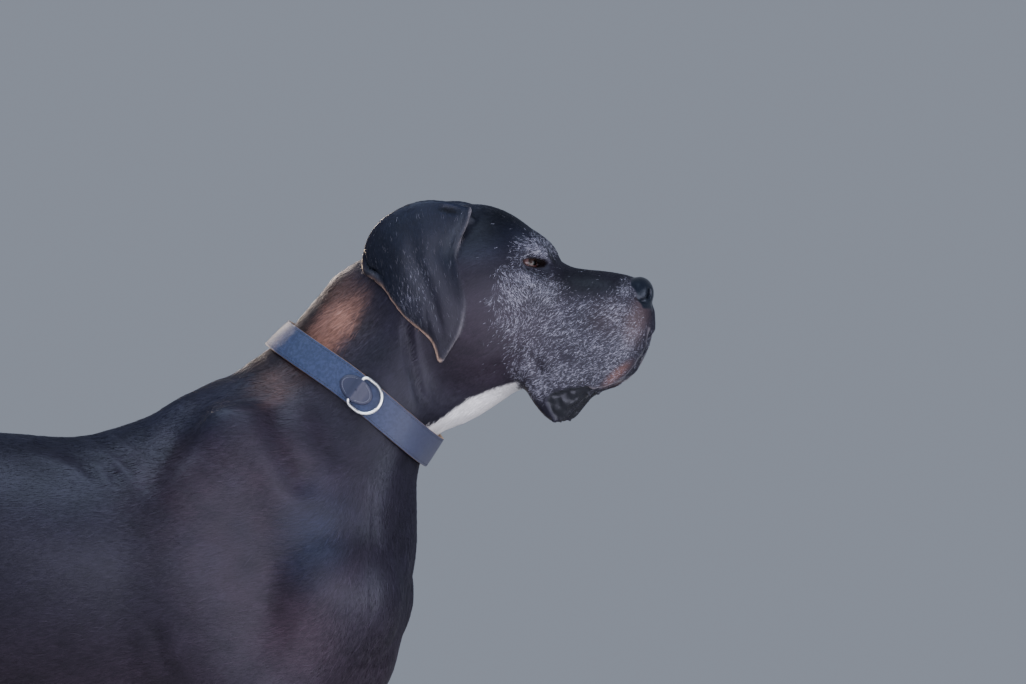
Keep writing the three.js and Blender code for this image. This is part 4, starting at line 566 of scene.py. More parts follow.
def with_details(q, d):
    """Lids, nostrils and the groove under the nose, cut into the body's distance d at q (left side, unposed)."""
    n = np.nonzero(((q > EYE_C - 34) & (q < EYE_C + 34)).all(1))[0]
    if len(n):
        e, a, b, w = slit(q[n])
        d[n] = smax(d[n], -np.maximum(e, 4.0 - w), 2.2)
    n = np.nonzero(((q > (500, -1, 885)) & (q < (560, 40, 985))).all(1))[0]
    if len(n):
        p, e = q[n], d[n]
        e = smax(e, -ellip(p, (540.5, 11.5, 953.5), (8.5, 4.2, 6.4), rotmat(-14, 22, 14)), 2.5)       # nostril
        e = smax(e, -cone(p, (541, 14, 948.5), 2.6, (530, 23, 943.5), 1.0), 2.0)            # its slit
        e = smax(e, -cone(p, (547, 0, 955), 1.2, (544, 0, 930), 1.6), 3.0)                     # groove in the pad
        e = smax(e, -cone(p, (544, 0, 930), 1.2, (541, 0, 896), 1.0), 4.0)
        d[n] = e
    return d

# ------------------------------------------------------------ ears as bent sheets
_sheet = ear_sheet(40, 32)
_nu, _nv = _sheet.shape[:2]
_ids = np.arange(_nu * _nv).reshape(_nu, _nv)
_ear_quads = np.stack([_ids[:-1, :-1], _ids[1:, :-1], _ids[1:, 1:], _ids[:-1, 1:]], -1).reshape(-1, 4)
_ear_pts = _sheet.reshape(-1, 3)
EAR_BVH = BVHTree.FromPolygons(_ear_pts.tolist(), _ear_quads.tolist())
EAR_LO, EAR_HI = _ear_pts.min(0), _ear_pts.max(0)
EAR_ROOT_ROWS = 7

def ear_distance(q, reach=16.0):
    """Distance to the left ear's leather and how near the root that is (1 in the skull, 0 on the flap)."""
    n = np.nonzero(((q > EAR_LO - reach) & (q < EAR_HI + reach)).all(1))[0]
    d = np.full(len(n), 1e3)
    w = np.zeros(len(n))
    find = EAR_BVH.find_nearest
    for i, p in enumerate(q[n].tolist()):
        co, no, k, r = find(p, reach + 12)
        if co is not None:
            row, col = divmod(k, _nv - 1)
            d[i] = r
            w[i] = 1.0 if row < EAR_ROOT_ROWS - 2 else max(0.0, 1 - (row - EAR_ROOT_ROWS + 2) / 5)
    return n, d, w

def skin_field(p, band=14.0):
    q = unpose(p)
    q[:, 1] = np.abs(q[:, 1])
    d = body(q, band)
    n, e, w = ear_distance(q)
    if len(n):
        e = e - EAR_HALF
        k = 0.8 + 9.0 * w
        h = np.maximum(k - np.abs(d[n] - e), 0) / k
        d[n] = np.minimum(d[n], e) - h * h * k / 4
    d = with_details(q, d)
    return smax(d, 0.15 - p[:, 2], 1.0)


# ------------------------------------------------------------------ the skin
AX = [axes_of([(-692, 4.2), (-515, 7.0), (-250, 4.6), (40, 4.0), (190, 2.4), (374, 1.35), (412, 2.0), (504, 1.4), (552, 1)]),
      axes_of([(-156, 4.5), (-104, 2.4), (-60, 2.0), (-16, 1.6), (16, 2.0), (60, 2.4), (104, 4.5), (156, 1)]),
      axes_of([(-6, 2.6), (64, 6.5), (640, 5.0), (790, 2.4), (968, 1.35), (1006, 2.2), (1078, 1)])]
P, Q = nets(skin_field, AX)

def triangles_of(quads):
    return np.concatenate([quads[:, [0, 1, 2]], quads[:, [0, 2, 3]]])

def normals_of(P, T):
    f = np.cross(P[T[:, 1]] - P[T[:, 0]], P[T[:, 2]] - P[T[:, 0]])
    n = np.zeros_like(P)
    for i in range(3):
        for a in range(3):
            n[:, a] += np.bincount(T[:, i], f[:, a], len(P))
    return n / (np.linalg.norm(n, axis=1)[:, None] + 1e-12)

def neighbours(Q, n):
    E = np.concatenate([Q[:, [0, 1]], Q[:, [1, 2]], Q[:, [2, 3]], Q[:, [3, 0]]])
    E = np.unique(np.sort(E, 1), axis=0)
    return E, np.bincount(E.ravel(), minlength=n).astype(float)

def laplace(P, E, deg):
    s = np.zeros_like(P)
    for a in range(3):
        s[:, a] = np.bincount(E[:, 0], P[E[:, 1], a], len(P)) + np.bincount(E[:, 1], P[E[:, 0], a], len(P))
    return s / deg[:, None] - P

EDGES, DEG = neighbours(Q, len(P))
U = unpose(P)
SIDE = np.where(U[:, 1] < 0, -1.0, 1.0)
U[:, 1] = np.abs(U[:, 1])
# the body is smoothed more than the face, whose lids and nostrils are small
on_face = smooth((U[:, 0] - 300) / 60) * smooth((U[:, 2] - 780) / 40)
near_feet = smooth((110 - U[:, 2]) / 50)
strength = 1 - 0.75 * np.maximum(on_face, near_feet * 0.7)
EAR = np.zeros(len(P))
_n, _d, _w = ear_distance(U, 6.0)
EAR[_n] = smooth(1 - (_d - EAR_HALF) / 2.0) * (1 - _w)
strength = np.maximum(strength, EAR)
for i in range(10):
    P = P + (0.55 if i % 2 == 0 else -0.56) * strength[:, None] * laplace(P, EDGES, DEG)
for i in range(14):
    P = P + (0.60 if i % 2 == 0 else -0.61) * EAR[:, None] * laplace(P, EDGES, DEG)


# ------------------------------------------------- folds, lips and hollows
def polyline(points, q):
    """Distance in the side view from q to a line of (x, z) points, its nearest parameter 0..1, and which side q is on (left of the way +)."""
    L = np.array(points, float)
    seg = np.linalg.norm(L[1:] - L[:-1], axis=1)
    cum = np.r_[0, np.cumsum(seg)] / seg.sum()
    best = np.full(len(q), 1e9); par = np.zeros(len(q)); side = np.zeros(len(q))
    for i in range(len(L) - 1):
        a, v = L[i], L[i + 1] - L[i]
        r = q[:, [0, 2]] - a
        t = np.clip((r @ v) / (v @ v), 0, 1)
        e = r - t[:, None] * v
        d = np.sqrt((e * e).sum(1))
        m = d < best
        best = np.where(m, d, best)
        par = np.where(m, cum[i] + t * (cum[i + 1] - cum[i]), par)
        side = np.where(m, np.sign(v[0] * r[:, 1] - v[1] * r[:, 0]), side)
    return best, par, side

_edge_f = np.concatenate([_sheet[i, :1] + (_sheet[i + 1, :1] - _sheet[i, :1]) * np.linspace(0, 1, 5)[:4, None] for i in range(EAR_ROOT_ROWS, _nu - 1)] + [_sheet[-1, :6]])
_edge_r = np.concatenate([_sheet[i, -1:] + (_sheet[i + 1, -1:] - _sheet[i, -1:]) * np.linspace(0, 1, 5)[:4, None] for i in range(EAR_ROOT_ROWS - 1, _nu - 1)] + [_sheet[-1, 6:]])
def ear_rims(q):
    """Distances to the ear's front and rear edges."""
    out = []
    for e in (_edge_f, _edge_r):
        tree = KDTree(len(e))
        for i, p in enumerate(e):
            tree.insert(p, i)
        tree.balance()
        out.append(np.array([tree.find(p)[2] for p in q.tolist()]))
    return out[0] - EAR_HALF * 0.6, out[1] - EAR_HALF * 0.6

def wobble_at(q, size, seed):
    r = np.random.default_rng(seed)
    v = np.zeros(len(q))
    for _ in range(9):
        k = r.normal(size=3); k /= np.linalg.norm(k)
        v += np.sin(q @ k * (2 * math.pi / size) * r.uniform(0.6, 1.7) + r.uniform(0, 6.28))
    return v / 3.2

T = triangles_of(Q)
N = normals_of(P, T)
U = unpose(P); U[:, 1] = np.abs(U[:, 1])
facing = np.abs(N[:, 1])          # 1 on the flanks

# name: (x, z) line, depth, width, ridge beside it; the least sideways facing comes from the name, lower for the back's
# wrinkles
FOLDS = {
    "neck_behind_ear": ([(251, 936), (253, 900), (256, 866), (262, 836), (272, 804)], 3.0, 5.2, 0.9),
    "ear_root": ([(292, 1059), (305, 1057.5), (318, 1054)], 3.5, 4.5, 0.8),
    "shoulder_groove": ([(74, 822), (84, 806), (103, 776), (120, 741), (134, 700)], 5.0, 15.0, 1.5),
    "shoulder_rear": ([(-30, 800), (-34, 770), (-52, 735), (-60, 700)], 2.5, 13.0, 1.2),
    "back_wrinkle_1": ([(-226, 778), (-186, 768), (-150, 752), (-112, 722)], 3.0, 6.5, 1.3),
    "back_wrinkle_2": ([(-196, 781), (-160, 770), (-122, 752), (-88, 716)], 2.6, 6.5, 1.3),
    "back_wrinkle_3": ([(-160, 783), (-128, 774), (-96, 754), (-70, 728)], 2.0, 6.0, 1.0),
    "elbow_fold": ([(-52, 560), (-44, 520), (-28, 486)], 2.4, 9.0, 0.8),
    "flank_fold": ([(-330, 600), (-345, 560), (-368, 520)], 3.0, 14.0, 1.0),
    "throat_fold": ([(352, 838), (330, 826), (300, 806)], 1.6, 5.0, 1.0),
    "cheek_rear": ([(330, 852), (352, 860), (368, 872)], 1.0, 6.0, 0.4),
    "whisker_1": ([(510, 924), (492, 913), (480, 905)], 0.75, 2.3, 0.3),
    "whisker_2": ([(525, 912), (507, 898), (488, 894)], 0.75, 2.3, 0.3),
    "whisker_3": ([(500, 926), (485, 917), (474, 908)], 0.55, 2.1, 0.3),
    "whisker_4": ([(520, 898), (504, 886), (486, 881)], 0.55, 2.3, 0.3),
    "under_eye": ([(420, 981), (412, 973), (398, 971), (385, 977)], 1.0, 3.2, 0.7),
    "under_eye_2": ([(424, 972), (412, 962), (395, 961)], 0.6, 3.6, 0.4),
    "nose_wing": ([(521, 957), (523, 953), (528, 948.5), (534, 943.5), (539, 942)], 1.2, 1.7, 0.5),
    "nose_edge": ([(514, 975), (517, 966), (520, 958), (521, 955)], 0.7, 1.8, 0.3),
    "flew_fold": ([(404, 886), (408, 866), (414, 846)], 1.6, 7.0, 0.8),
}
shift = np.zeros(len(P))
for name, (line, deep, wide, ridge) in FOLDS.items():
    L = np.array(line)
    n = np.nonzero((U[:, 0] > L[:, 0].min() - 5 * wide) & (U[:, 0] < L[:, 0].max() + 5 * wide) & (U[:, 2] > L[:, 1].min() - 5 * wide) & (U[:, 2] < L[:, 1].max() + 5 * wide) & (facing > (0.02 if name.startswith("back") else 0.25)))[0]
    d, t, s = polyline(line, U[n])
    end = smooth(np.minimum(t, 1 - t) / 0.22)
    w = end * (smooth((facing[n] - 0.02) / 0.1) if name.startswith("back") else smooth((facing[n] - 0.25) / 0.35)) * (1 - EAR[n])
    shift[n] += w * (-deep * np.exp(-(d / wide) ** 2) + ridge * np.exp(-((d - 2.1 * wide) / (0.9 * wide)) ** 2))

# the ear's rear edge is rolled at its base
n = np.nonzero(EAR > 0.3)[0]
_front, _rear = ear_rims(U[n])
_base = smooth((U[n, 2] - 962) / 10) * smooth((230 - U[n, 0]) / 12) * EAR[n] * (facing[n] > 0.2)
shift[n] += _base * (2.2 * np.exp(-((_rear - 2.0) / 2.4) ** 2) - 2.2 * np.exp(-((_rear - 8.5) / 3.2) ** 2))
shift[n] += 0.7 * np.exp(-((_front - 1.6) / 1.6) ** 2) * EAR[n] * (facing[n] > 0.2) - 0.5 * np.exp(-((_front - 5.5) / 2.4) ** 2) * EAR[n] * (facing[n] > 0.2)
# creases of the ear's leather
for line, deep, wide in (
    ([(278, 944), (281, 926), (284, 898)], 0.8, 1.8),
    ([(262, 1030), (258, 1000), (262, 966), (272, 930)], 0.15, 4.0),
    ([(232, 1020), (226, 992), (232, 966)], 0.2, 4.5),
):
    n = np.nonzero(EAR > 0.3)[0]
    d, t, s = polyline(line, U[n])
    shift[n] += -deep * np.exp(-(d / wide) ** 2) * smooth(np.minimum(t, 1 - t) / 0.25) * smooth((facing[n] - 0.3) / 0.3) * EAR[n]

# the upper lip ends in an edge over the narrower lower lip
LIP = [(541, 912), (536.6, 890.6), (532, 881.6), (524.7, 868.5), (515.6, 856.3), (504.7, 847.1), (490.1, 841.6), (477.1, 839.8), (470, 842)]
LIP_BACK = [(472, 842), (462, 833), (456, 822), (448, 812), (438, 804)]
n = np.nonzero((U[:, 0] > 425) & (U[:, 2] < 925) & (U[:, 2] > 795))[0]
d, t, s = polyline(LIP, U[n])
below = s > 0          # the way runs back and down, so its left is below
_dd = np.where(below, d, -d)
lip_step = smooth(_dd / 2.2 + 0.3) * smooth(t / 0.12) * (1 - smooth((t - 0.93) / 0.07))
shift[n] -= 3.2 * lip_step * np.exp(-np.maximum(_dd - 10, 0) / 8)
shift[n] += 0.7 * np.exp(-((_dd + 1.6) / 1.6) ** 2) * smooth(t / 0.12)
LIP_EDGE = np.full(len(P), 99.0); LIP_EDGE[n] = np.where(t < 0.995, _dd, 99.0)
# the hanging corner of the mouth turns its wet inside out, with a wavy rim
WET = [(419, 824), (424, 834), (436, 838.5), (452, 841), (470, 842.5), (475, 838), (468, 830), (462, 822), (455, 812), (448, 805), (438, 799), (428, 802)]
def inside(poly, q):
    """How far q (x, z) is inside a polygon, in mm, below 0 outside."""
    L = np.array(poly + poly[:1], float)
    x, z = q[:, 0], q[:, 2]
    c = np.zeros(len(q), bool)
    for (x0, z0), (x1, z1) in zip(L[:-1], L[1:]):
        m = (z0 > z) != (z1 > z)
        c ^= m & (x < (x1 - x0) * (z - z0) / (z1 - z0 + 1e-12) + x0)
    d, _, _ = polyline(L, q)
    return np.where(c, d, -d)
n = np.nonzero((U[:, 0] > 405) & (U[:, 0] < 490) & (U[:, 2] < 856))[0]
w = inside(WET, U[n])
wet_fold = np.full(len(P), -99.0); wet_fold[n] = w
rim_d, rim_t, _ = polyline([(477, 842), (469, 832), (462, 822), (454, 812), (446, 805), (436, 800), (427, 801)], U[n])
ruffle = 0.9 + 0.5 * np.sin(rim_t * 38) + 0.35 * np.sin(rim_t * 71 + 1)
shift[n] += np.where(facing[n] > 0.2, -2.2 * smooth((w + 1.2) / 2.4) + 1.7 * ruffle * np.exp(-(rim_d / 2.3) ** 2) * smooth(rim_t / 0.05) + 0.8 * np.exp(-((w + 2.0) / 1.8) ** 2), 0)
crumple = wobble_at(U[n], 10, 5) * 0.30 + wobble_at(U[n], 18, 6) * 0.9 - 0.8
shift[n] += np.where(facing[n] > 0.2, crumple * smooth((w - 1.5) / 3.0), 0)

# veins and sinews under short hair
def bump_line(points3, high, wide):
    L = np.array(points3, float)
    n = np.nonzero(((U > L.min(0) - 4 * wide) & (U < L.max(0) + 4 * wide)).all(1))[0]
    best = np.full(len(n), 1e9)
    for a, b in zip(L[:-1], L[1:]):
        v = b - a
        t = np.clip(((U[n] - a) @ v) / (v @ v), 0, 1)
        best = np.minimum(best, np.linalg.norm(U[n] - a - t[:, None] * v, axis=1))
    shift[n] += high * np.exp(-(best / wide) ** 2)
for line, high, wide in (
    ([(74, 116, 440), (70, 112, 380), (72, 104, 320), (76, 98, 262)], 1.3, 4.0),
    ([(40, 116, 300), (40, 108, 250), (42, 102, 205)], 1.0, 4.0),
    ([(-560, 104, 300), (-584, 102, 262), (-598, 98, 215), (-604, 98, 160)], 1.5, 4.5),
    ([(-450, 124, 400), (-490, 118, 350), (-524, 108, 312)], 1.1, 5.0),
    ([(300, 66, 900), (322, 72, 930), (336, 76, 960)], -0.8, 6.0),
    ([(424, 44, 968), (446, 40, 948), (470, 42, 940)], 0.5, 4.0),
    # loose skin rolled up behind the collar
    ([(27, 0, 846), (30, 20, 840), (40, 44, 815), (56, 60, 780)], -2.6, 5.5),
    ([(50, 0, 864), (54, 24, 856), (64, 48, 828)], 1.8, 11.0),
    ([(8, 0, 832), (12, 24, 824), (22, 46, 800)], 0.8, 9.0),
    # veins and slack skin on the front of the chest
    ([(222, 46, 690), (214, 52, 640), (205, 56, 590), (198, 58, 540)], 1.3, 4.5),
    ([(236, 30, 680), (232, 34, 630), (224, 38, 575)], -1.3, 4.0),
    ([(206, 70, 700), (196, 78, 660), (190, 82, 610)], -1.0, 6.0),
):
    bump_line(line, high, wide)
shift *= smooth((U[:, 2] - 4) / 8)
for a in range(3):
    P[:, a] += shift * N[:, a]
P = P + 0.35 * laplace(P, EDGES, DEG) * (1 - on_face)[:, None]
P = P - 0.36 * laplace(P, EDGES, DEG) * (1 - on_face)[:, None]
P[:, 2] = np.maximum(P[:, 2], 0.2)
N = normals_of(P, T)


# ------------------------------------------------- lie of the hair, markings and painted light
def blob(q, x, z, rx, rz, turn=0.0, soft=0.6):
    """1 inside an oval of the side view, falling off over its outer share."""
    c, s = math.cos(math.radians(turn)), math.sin(math.radians(turn))
    dx, dz = q[:, 0] - x, q[:, 2] - z
    r = np.sqrt(((dx * c + dz * s) / rx) ** 2 + ((-dx * s + dz * c) / rz) ** 2)
    return 1 - smooth((r - (1 - soft)) / soft / 1.4)

def wobble(q, size, seed):
    """Soft uneven value about 0, made of waves."""
    r = np.random.default_rng(seed)
    v = np.zeros(len(q))
    for _ in range(7):
        k = r.normal(size=3); k /= np.linalg.norm(k)
        v += np.sin(q @ k * (2 * math.pi / size) * r.uniform(0.6, 1.7) + r.uniform(0, 6.28))
    return v / 3.2

def along_neck(q):
    return (q[:, 0] - NECK_O[0]) * NECK_A[0] + (q[:, 2] - NECK_O[1]) * NECK_A[1]

def flow_of(q, n, ear):
    """Unit direction the hair lies in at unposed points q with normals n."""
    x, y, z = q.T
    t = along_neck(q)
    head = smooth((x - 262) / 60) * smooth((z - 800) / 40)
    neck = smooth((t + 70) / 70) * smooth((z - 640) / 80) * (1 - head)
    tail = smooth((-612 - x) / 14) * smooth((45 - y) / 12)
    fore = smooth((520 - z) / 110) * smooth((x + 190) / 60)
    hind = smooth((640 - z) / 150) * smooth((-330 - x) / 70) * (1 - tail)
    chest = smooth((x - 120) / 70) * smooth((770 - z) / 60) * (1 - neck) * (1 - fore)
    foot = smooth((72 - z) / 30)
    v = np.zeros_like(q)
    def add(w, d):
        for a in range(3):
            v[:, a] += w * d[a]
    trunk = np.clip(1 - head - neck - tail - fore - hind - chest, 0, 1)
    add(trunk, (-1, 0, -0.22))
    add(neck, (-0.67, 0, -0.74))
    add(chest, (-0.35, 0, -1))
    add(fore * (1 - foot), (-0.12, 0, -1))
    add(hind * (1 - foot), (-0.42, 0, -1))
    add((fore + hind) * foot, (1, 0, -0.55))
    add(tail, (-0.15, 0, -1))
    face = smooth((x - 400) / 50) * smooth((960 - z) / 40)
    brow = smooth((z - 985) / 30)
    cheek = smooth((410 + 0.16 * (z - 935) - x) / 16) * smooth((x - 352) / 18) * smooth((z - 912) / 24) * smooth((990 - z) / 14)
    face = face * (1 - cheek)
    add(head * (1 - face) * (1 - brow) * (1 - cheek), (-0.75, 0, -0.62))
    add(head * cheek, (0.50, 0, -0.86))
    add(head * (1 - face) * brow, (-1, 0, -0.1))
    add(head * face, (-0.86, 0, -0.42))
    for a, d in enumerate((0.25, 0.0, -1.0)):
        v[:, a] = v[:, a] * (1 - ear) + ear * d
    v[:, 0] += 0.045 * wobble(q, 120, 3)
    v[:, 2] += 0.045 * wobble(q, 90, 4)
    v -= n * (v * n).sum(1)[:, None]
    return v / (np.linalg.norm(v, axis=1)[:, None] + 1e-9)

def turn_to_pose(q, v, side):
    """Directions of the unposed left side to the standing dog."""
    w = q.copy(); w[:, 1] *= side
    d = v.copy(); d[:, 1] *= side
    a = math.radians(HEAD_YAW) * pose_weight(w); b = math.radians(HEAD_ROLL) * pose_weight(w)
    x, y, z = d.T
    y, z = y * np.cos(b) - z * np.sin(b), y * np.sin(b) + z * np.cos(b)
    x, y = x * np.cos(a) - y * np.sin(a), x * np.sin(a) + y * np.cos(a)
    return np.stack([x, y, z], 1)

BLACK = np.array([0.0150, 0.0128, 0.0235])
# painted bluish sky sheen of the black coat, laid on the top of the back, the shoulder, the crown and the ears
SKY_SHEEN_BLUE = np.array([0.0085, 0.0125, 0.0310])
BROWN = np.array([0.040, 0.0235, 0.0165])
# rufous of the nape behind the ear: the hair's own brown with painted warm low sunlight in it
SUNLIT_RUFOUS = np.array([0.370, 0.185, 0.135])
WINE = np.array([0.0360, 0.0200, 0.0300])
PINK = np.array([0.150, 0.085, 0.085])
RUST = np.array([0.190, 0.070, 0.045])
WHITE = np.array([0.93, 0.91, 0.94])
GREY = np.array([0.40, 0.40, 0.50])
WETBLACK = np.array([0.010, 0.010, 0.013])

# painted rim light of the low sun along the ear's rear and front edges, with some paler short edge hair
EAR_REAR_RIM_LIGHT = np.array([0.58, 0.39, 0.30])
EAR_FRONT_RIM_LIGHT = np.array([0.25, 0.23, 0.26])
def marks(q, ear, n):
    """Ground colour with painted sky sheen, sunlight and shadows in it, share of grey hairs and of white, at unposed
    points.
    """
    x, y, z = q.T
    col = np.repeat(BLACK[None], len(q), 0)
    def lay(w, c):
        w = np.clip(w, 0, 1)[:, None]
        return col * (1 - w) + c * w
    t = along_neck(q)
    u = wobble(q, 60, 11)
    # brownish nape, down to the collar and a little behind it: partly the coat's own brown, partly painted warm low
    # sunlight, brightest behind the ear
    nape = smooth((t + 95) / 50) * smooth((128 - t) / 40) * smooth(((z - 834) * NECK_A[0] - (x - 177) * NECK_A[1] - 10) / 60)
    col = lay(0.62 * nape * (0.75 + 0.35 * u), BROWN)
    col = lay(0.95 * blob(q, 166, 922, 25, 42, -38, 0.7) * (0.85 + 0.3 * u), SUNLIT_RUFOUS)
    col = lay(0.45 * blob(q, 182, 954, 26, 34, -38, 0.9) * (0.8 + 0.4 * u), SUNLIT_RUFOUS * 0.55)
    col = lay(0.80 * blob(q, 92, 842, 44, 22, 34, 0.9) * (0.8 + 0.5 * u), SUNLIT_RUFOUS * 0.36)
    col = lay(0.55 * blob(q, 60, 700, 150, 190, 30) * (0.8 + 0.3 * u) + 0.5 * smooth((640 - z) / 180) * smooth((z - 400) / 80), WINE)
    # painted bluish sky sheen along the top of the back
    col = lay(0.5 * smooth((z - 745) / 60) * smooth((80 - x) / 60), SKY_SHEEN_BLUE)
    # painted bluish highlight on the shoulder
    col = lay(0.75 * blob(q, 142, 665, 46, 74, -12, 0.9), SKY_SHEEN_BLUE * 1.25)
    col = lay(0.70 * blob(q, 118, 540, 60, 52, 0, 0.9), WINE * 1.35)
    # painted bluish sky sheen over the crown and on the ears
    col = lay(0.7 * blob(q, 320, 1040, 100, 46) + 0.85 * ear, SKY_SHEEN_BLUE)
    col = lay(0.55 * blob(q, 345, 905, 95, 90, 0, 0.9), WINE)
    # darkest along the bridge of the muzzle, over the crown and on the ears
    deep = np.maximum(blob(q, 466, 968, 52, 20, -6, 0.9), blob(q, 352, 1040, 62, 34, 20, 0.9))
    col = col * (1 - 0.75 * deep * (1 - ear) - 0.5 * ear)[:, None]
    col = col * (1 + 0.13 * wobble(q, 34, 21) + 0.11 * wobble(q, 95, 22))[:, None]
    # grey of age: brow, round the eye, cheek, muzzle, flews
    g = np.zeros(len(q))
    face = smooth((x - 340) / 20)
    v = wobble(q, 22, 12)
    for w, *b in (
        (0.95, 408, 1008, 18, 15, -35), (0.50, 392, 1002, 14, 18, -10),
        (0.85, 395, 972, 30, 15, -18), (0.80, 388, 955, 28, 20, 0), (0.75, 421, 956, 22, 22, -40),
        (0.62, 392, 925, 34, 34, 0), (0.55, 440, 912, 44, 34, 0), (0.45, 410, 890, 40, 34, 0),
        (0.62, 395, 866, 22, 22, -45), (0.78, 412, 845, 20, 24, -50), (0.68, 445, 858, 40, 20, 0),
        (0.66, 485, 862, 34, 22, 20), (0.72, 512, 898, 22, 38, -12), (0.66, 505, 930, 26, 26, 0), (0.60, 514, 958, 14, 14, 0),
        (0.60, 478, 890, 30, 26, 0), (0.40, 470, 935, 34, 18, 0), (0.95, 356.4, 945.5, 5.5, 6, 0), (0.10, 352, 925, 22, 26, 0),
    ):
        cx, cz, rx, rz, turn = b
        g = np.maximum(g, w * blob(q, cx, cz, rx * 1.1, rz * 1.1, turn, soft=0.92))
    g = g * (0.92 + 0.14 * v)
    g = g * (1 - 0.85 * smooth((z - (966 - 0.10 * (x - 430))) / 10) * smooth((x - 424) / 14) * smooth((512 - x) / 14))   # the bridge stays dark
    g = g * (1 - ear) * face + 0.008 * smooth((x - 320) / 60) * (1 - ear) * smooth((z - 800) / 60)
    g = np.maximum(g, ear * (0.05 + 0.25 * blob(q, 262, 955, 26, 52, -14, 0.9)))
    # chin and lower lip are grey too
    lower = smooth((LOWER_EDGE(q) - 1.5) / 2.0)
    g = np.maximum(g * (1 - 0.6 * lower), 0.30 * lower)
    col = lay(0.8 * blob(q, 527, 920, 14, 34, -14, 0.8) * smooth((y - 6) / 10), PINK * 0.55)
    col = lay(0.45 * blob(q, 500, 925, 34, 26, 0, 0.9), PINK * 0.30)
    col = lay(0.8 * blob(q, 504, 857, 24, 6.0, 42, 0.8) * (1 - lower), RUST * 0.75)
    col = col * (1 - 0.45 * lower[:, None])
    if ear.max() > 0.02:
        n_ = np.nonzero(ear > 0.02)[0]
        front, rear = ear_rims(q[n_])
        # painted rim light along the ear's edges: orange-tan on the rear edge, pale on the front
        a_ = np.exp(-(rear / (1.3 + 1.0 * smooth((q[n_, 2] - 960) / 10))) ** 2)[:, None]; b_ = np.exp(-(front / 1.3) ** 2)[:, None] * 0.8
        c_ = col[n_] * (1 - a_) + EAR_REAR_RIM_LIGHT * a_
        c_ = c_ * (1 - b_) + EAR_FRONT_RIM_LIGHT * b_
        # painted shadow in the opening of the rolled rear edge at the ear's base
        dark = blob(q[n_], 201, 980, 11, 4.5, 20, 0.5)[:, None]
        col[n_] = c_ * (1 - 0.9 * dark) + 0.9 * dark * BLACK * 0.4
        g[n_] *= 1 - np.maximum(a_, b_)[:, 0]
    # painted shadow in the fold pocket at the front of the ear's root
    dark = 0.85 * blob(q, 306, 1057, 15, 5, -8, 0.6)
    col = col * (1 - dark[:, None]); g = g * (1 - dark)
    # white throat
    thr = polyline([(277, 786), (297, 800), (322, 818), (347, 833), (372, 840), (400, 840)], q)[0]
    line = polyline([(262, 792), (283, 801), (322, 828), (352, 840), (372, 846), (392, 850)], q)
    under = smooth(((line[2] < 0) * 2 - 1) * line[0] / 3.5 + 0.5)
    white = under * smooth((x - 248) / 10) * smooth((388 - x) / 10) * smooth((z - 770) / 8)
    return col, np.clip(g, 0, 1), np.clip(white, 0, 1)

def LOWER_EDGE(q):
    """Distance below the upper lip's edge on the lower lip, below 0 elsewhere."""
    out = np.full(len(q), -9.0)
    n = np.nonzero((q[:, 0] > 455) & (q[:, 2] < 914) & (q[:, 2] > 800))[0]
    if len(n):
        d, t, s = polyline(LIP, q[n])
        out[n] = np.where((t > 0.02) & (t < 0.99), np.where(s > 0, d, -d), -9.0)
    return out

U = unpose(P); U[:, 1] = np.abs(U[:, 1])
NU = N.copy(); NU[:, 1] *= SIDE
FLOW_U = flow_of(U, NU, EAR)
FLOW = turn_to_pose(U, FLOW_U, SIDE)
COL, GREYING, WHITENESS = marks(U, EAR, NU)
e_, a_, b_, w_ = slit(U)
lid = (1 - smooth((np.maximum(e_, -3) - 0.2) / 1.5)) * (w_ > 3) * (np.linalg.norm(U - EYE_C, axis=1) < 24)
nose_pad = smooth((U[:, 0] - (518.5 + 0.45 * np.maximum(0, 952 - U[:, 2]))) / 2.0) * smooth((U[:, 2] - 934) / 3.0) * smooth((26.5 - U[:, 1]) / 2)
pads = smooth((10 - U[:, 2]) / 5) * (NU[:, 2] < -0.3)
WETNESS = np.clip(np.maximum.reduce([smooth((wet_fold + 0.5) / 1.5) * (facing > 0.1), lid, nose_pad * 0.85, np.exp(-(LIP_EDGE / 1.2) ** 2) * (LIP_EDGE < 90) * smooth((U[:, 1] - 9) / 4)]), 0, 1)
HAIRLESS = np.clip(np.maximum.reduce([WETNESS, nose_pad, pads]), 0, 1)
base = COL * (1 - 0.13 * GREYING[:, None]) + GREY * 0.13 * GREYING[:, None]
base = base * (1 - WHITENESS[:, None]) + WHITE * WHITENESS[:, None]
def lay_on(base, w, c):
    w = np.clip(w, 0, 1)[:, None]
    return base * (1 - w) + np.array(c) * w
base = lay_on(base, smooth((wet_fold + 0.5) / 1.5) * (facing > 0.1), WETBLACK)
base = lay_on(base, lid, (0.016, 0.011, 0.012))
base = lay_on(base, nose_pad, (0.0055, 0.0080, 0.0150))
# pale band along the upper lip's edge, stronger where the lip faces sideways: partly grey edge hair, partly painted rim
# light
base = lay_on(base, np.exp(-(LIP_EDGE / 1.1) ** 2) * (LIP_EDGE < 90) * smooth((U[:, 1] - 12) / 6) * smooth((facing - 0.10) / 0.2) * (0.30 + 0.50 * smooth((facing - 0.25) / 0.4)), (0.24, 0.21, 0.235))
base = lay_on(base, pads, (0.030, 0.027, 0.027))


# ------------------------------------------------------------------- materials
def material(name, color=(0.5, 0.5, 0.5), rough=0.5, metal=0.0, **sockets):
    m = bpy.data.materials.new(name)
    m.use_nodes = True
    b = m.node_tree.nodes["Principled BSDF"]
    b.inputs["Base Color"].default_value = (*color, 1)
    b.inputs["Roughness"].default_value = rough
    b.inputs["Metallic"].default_value = metal
    for k, v in sockets.items():
        b.inputs[k.replace("_", " ")].default_value = v
    return m, m.node_tree, b

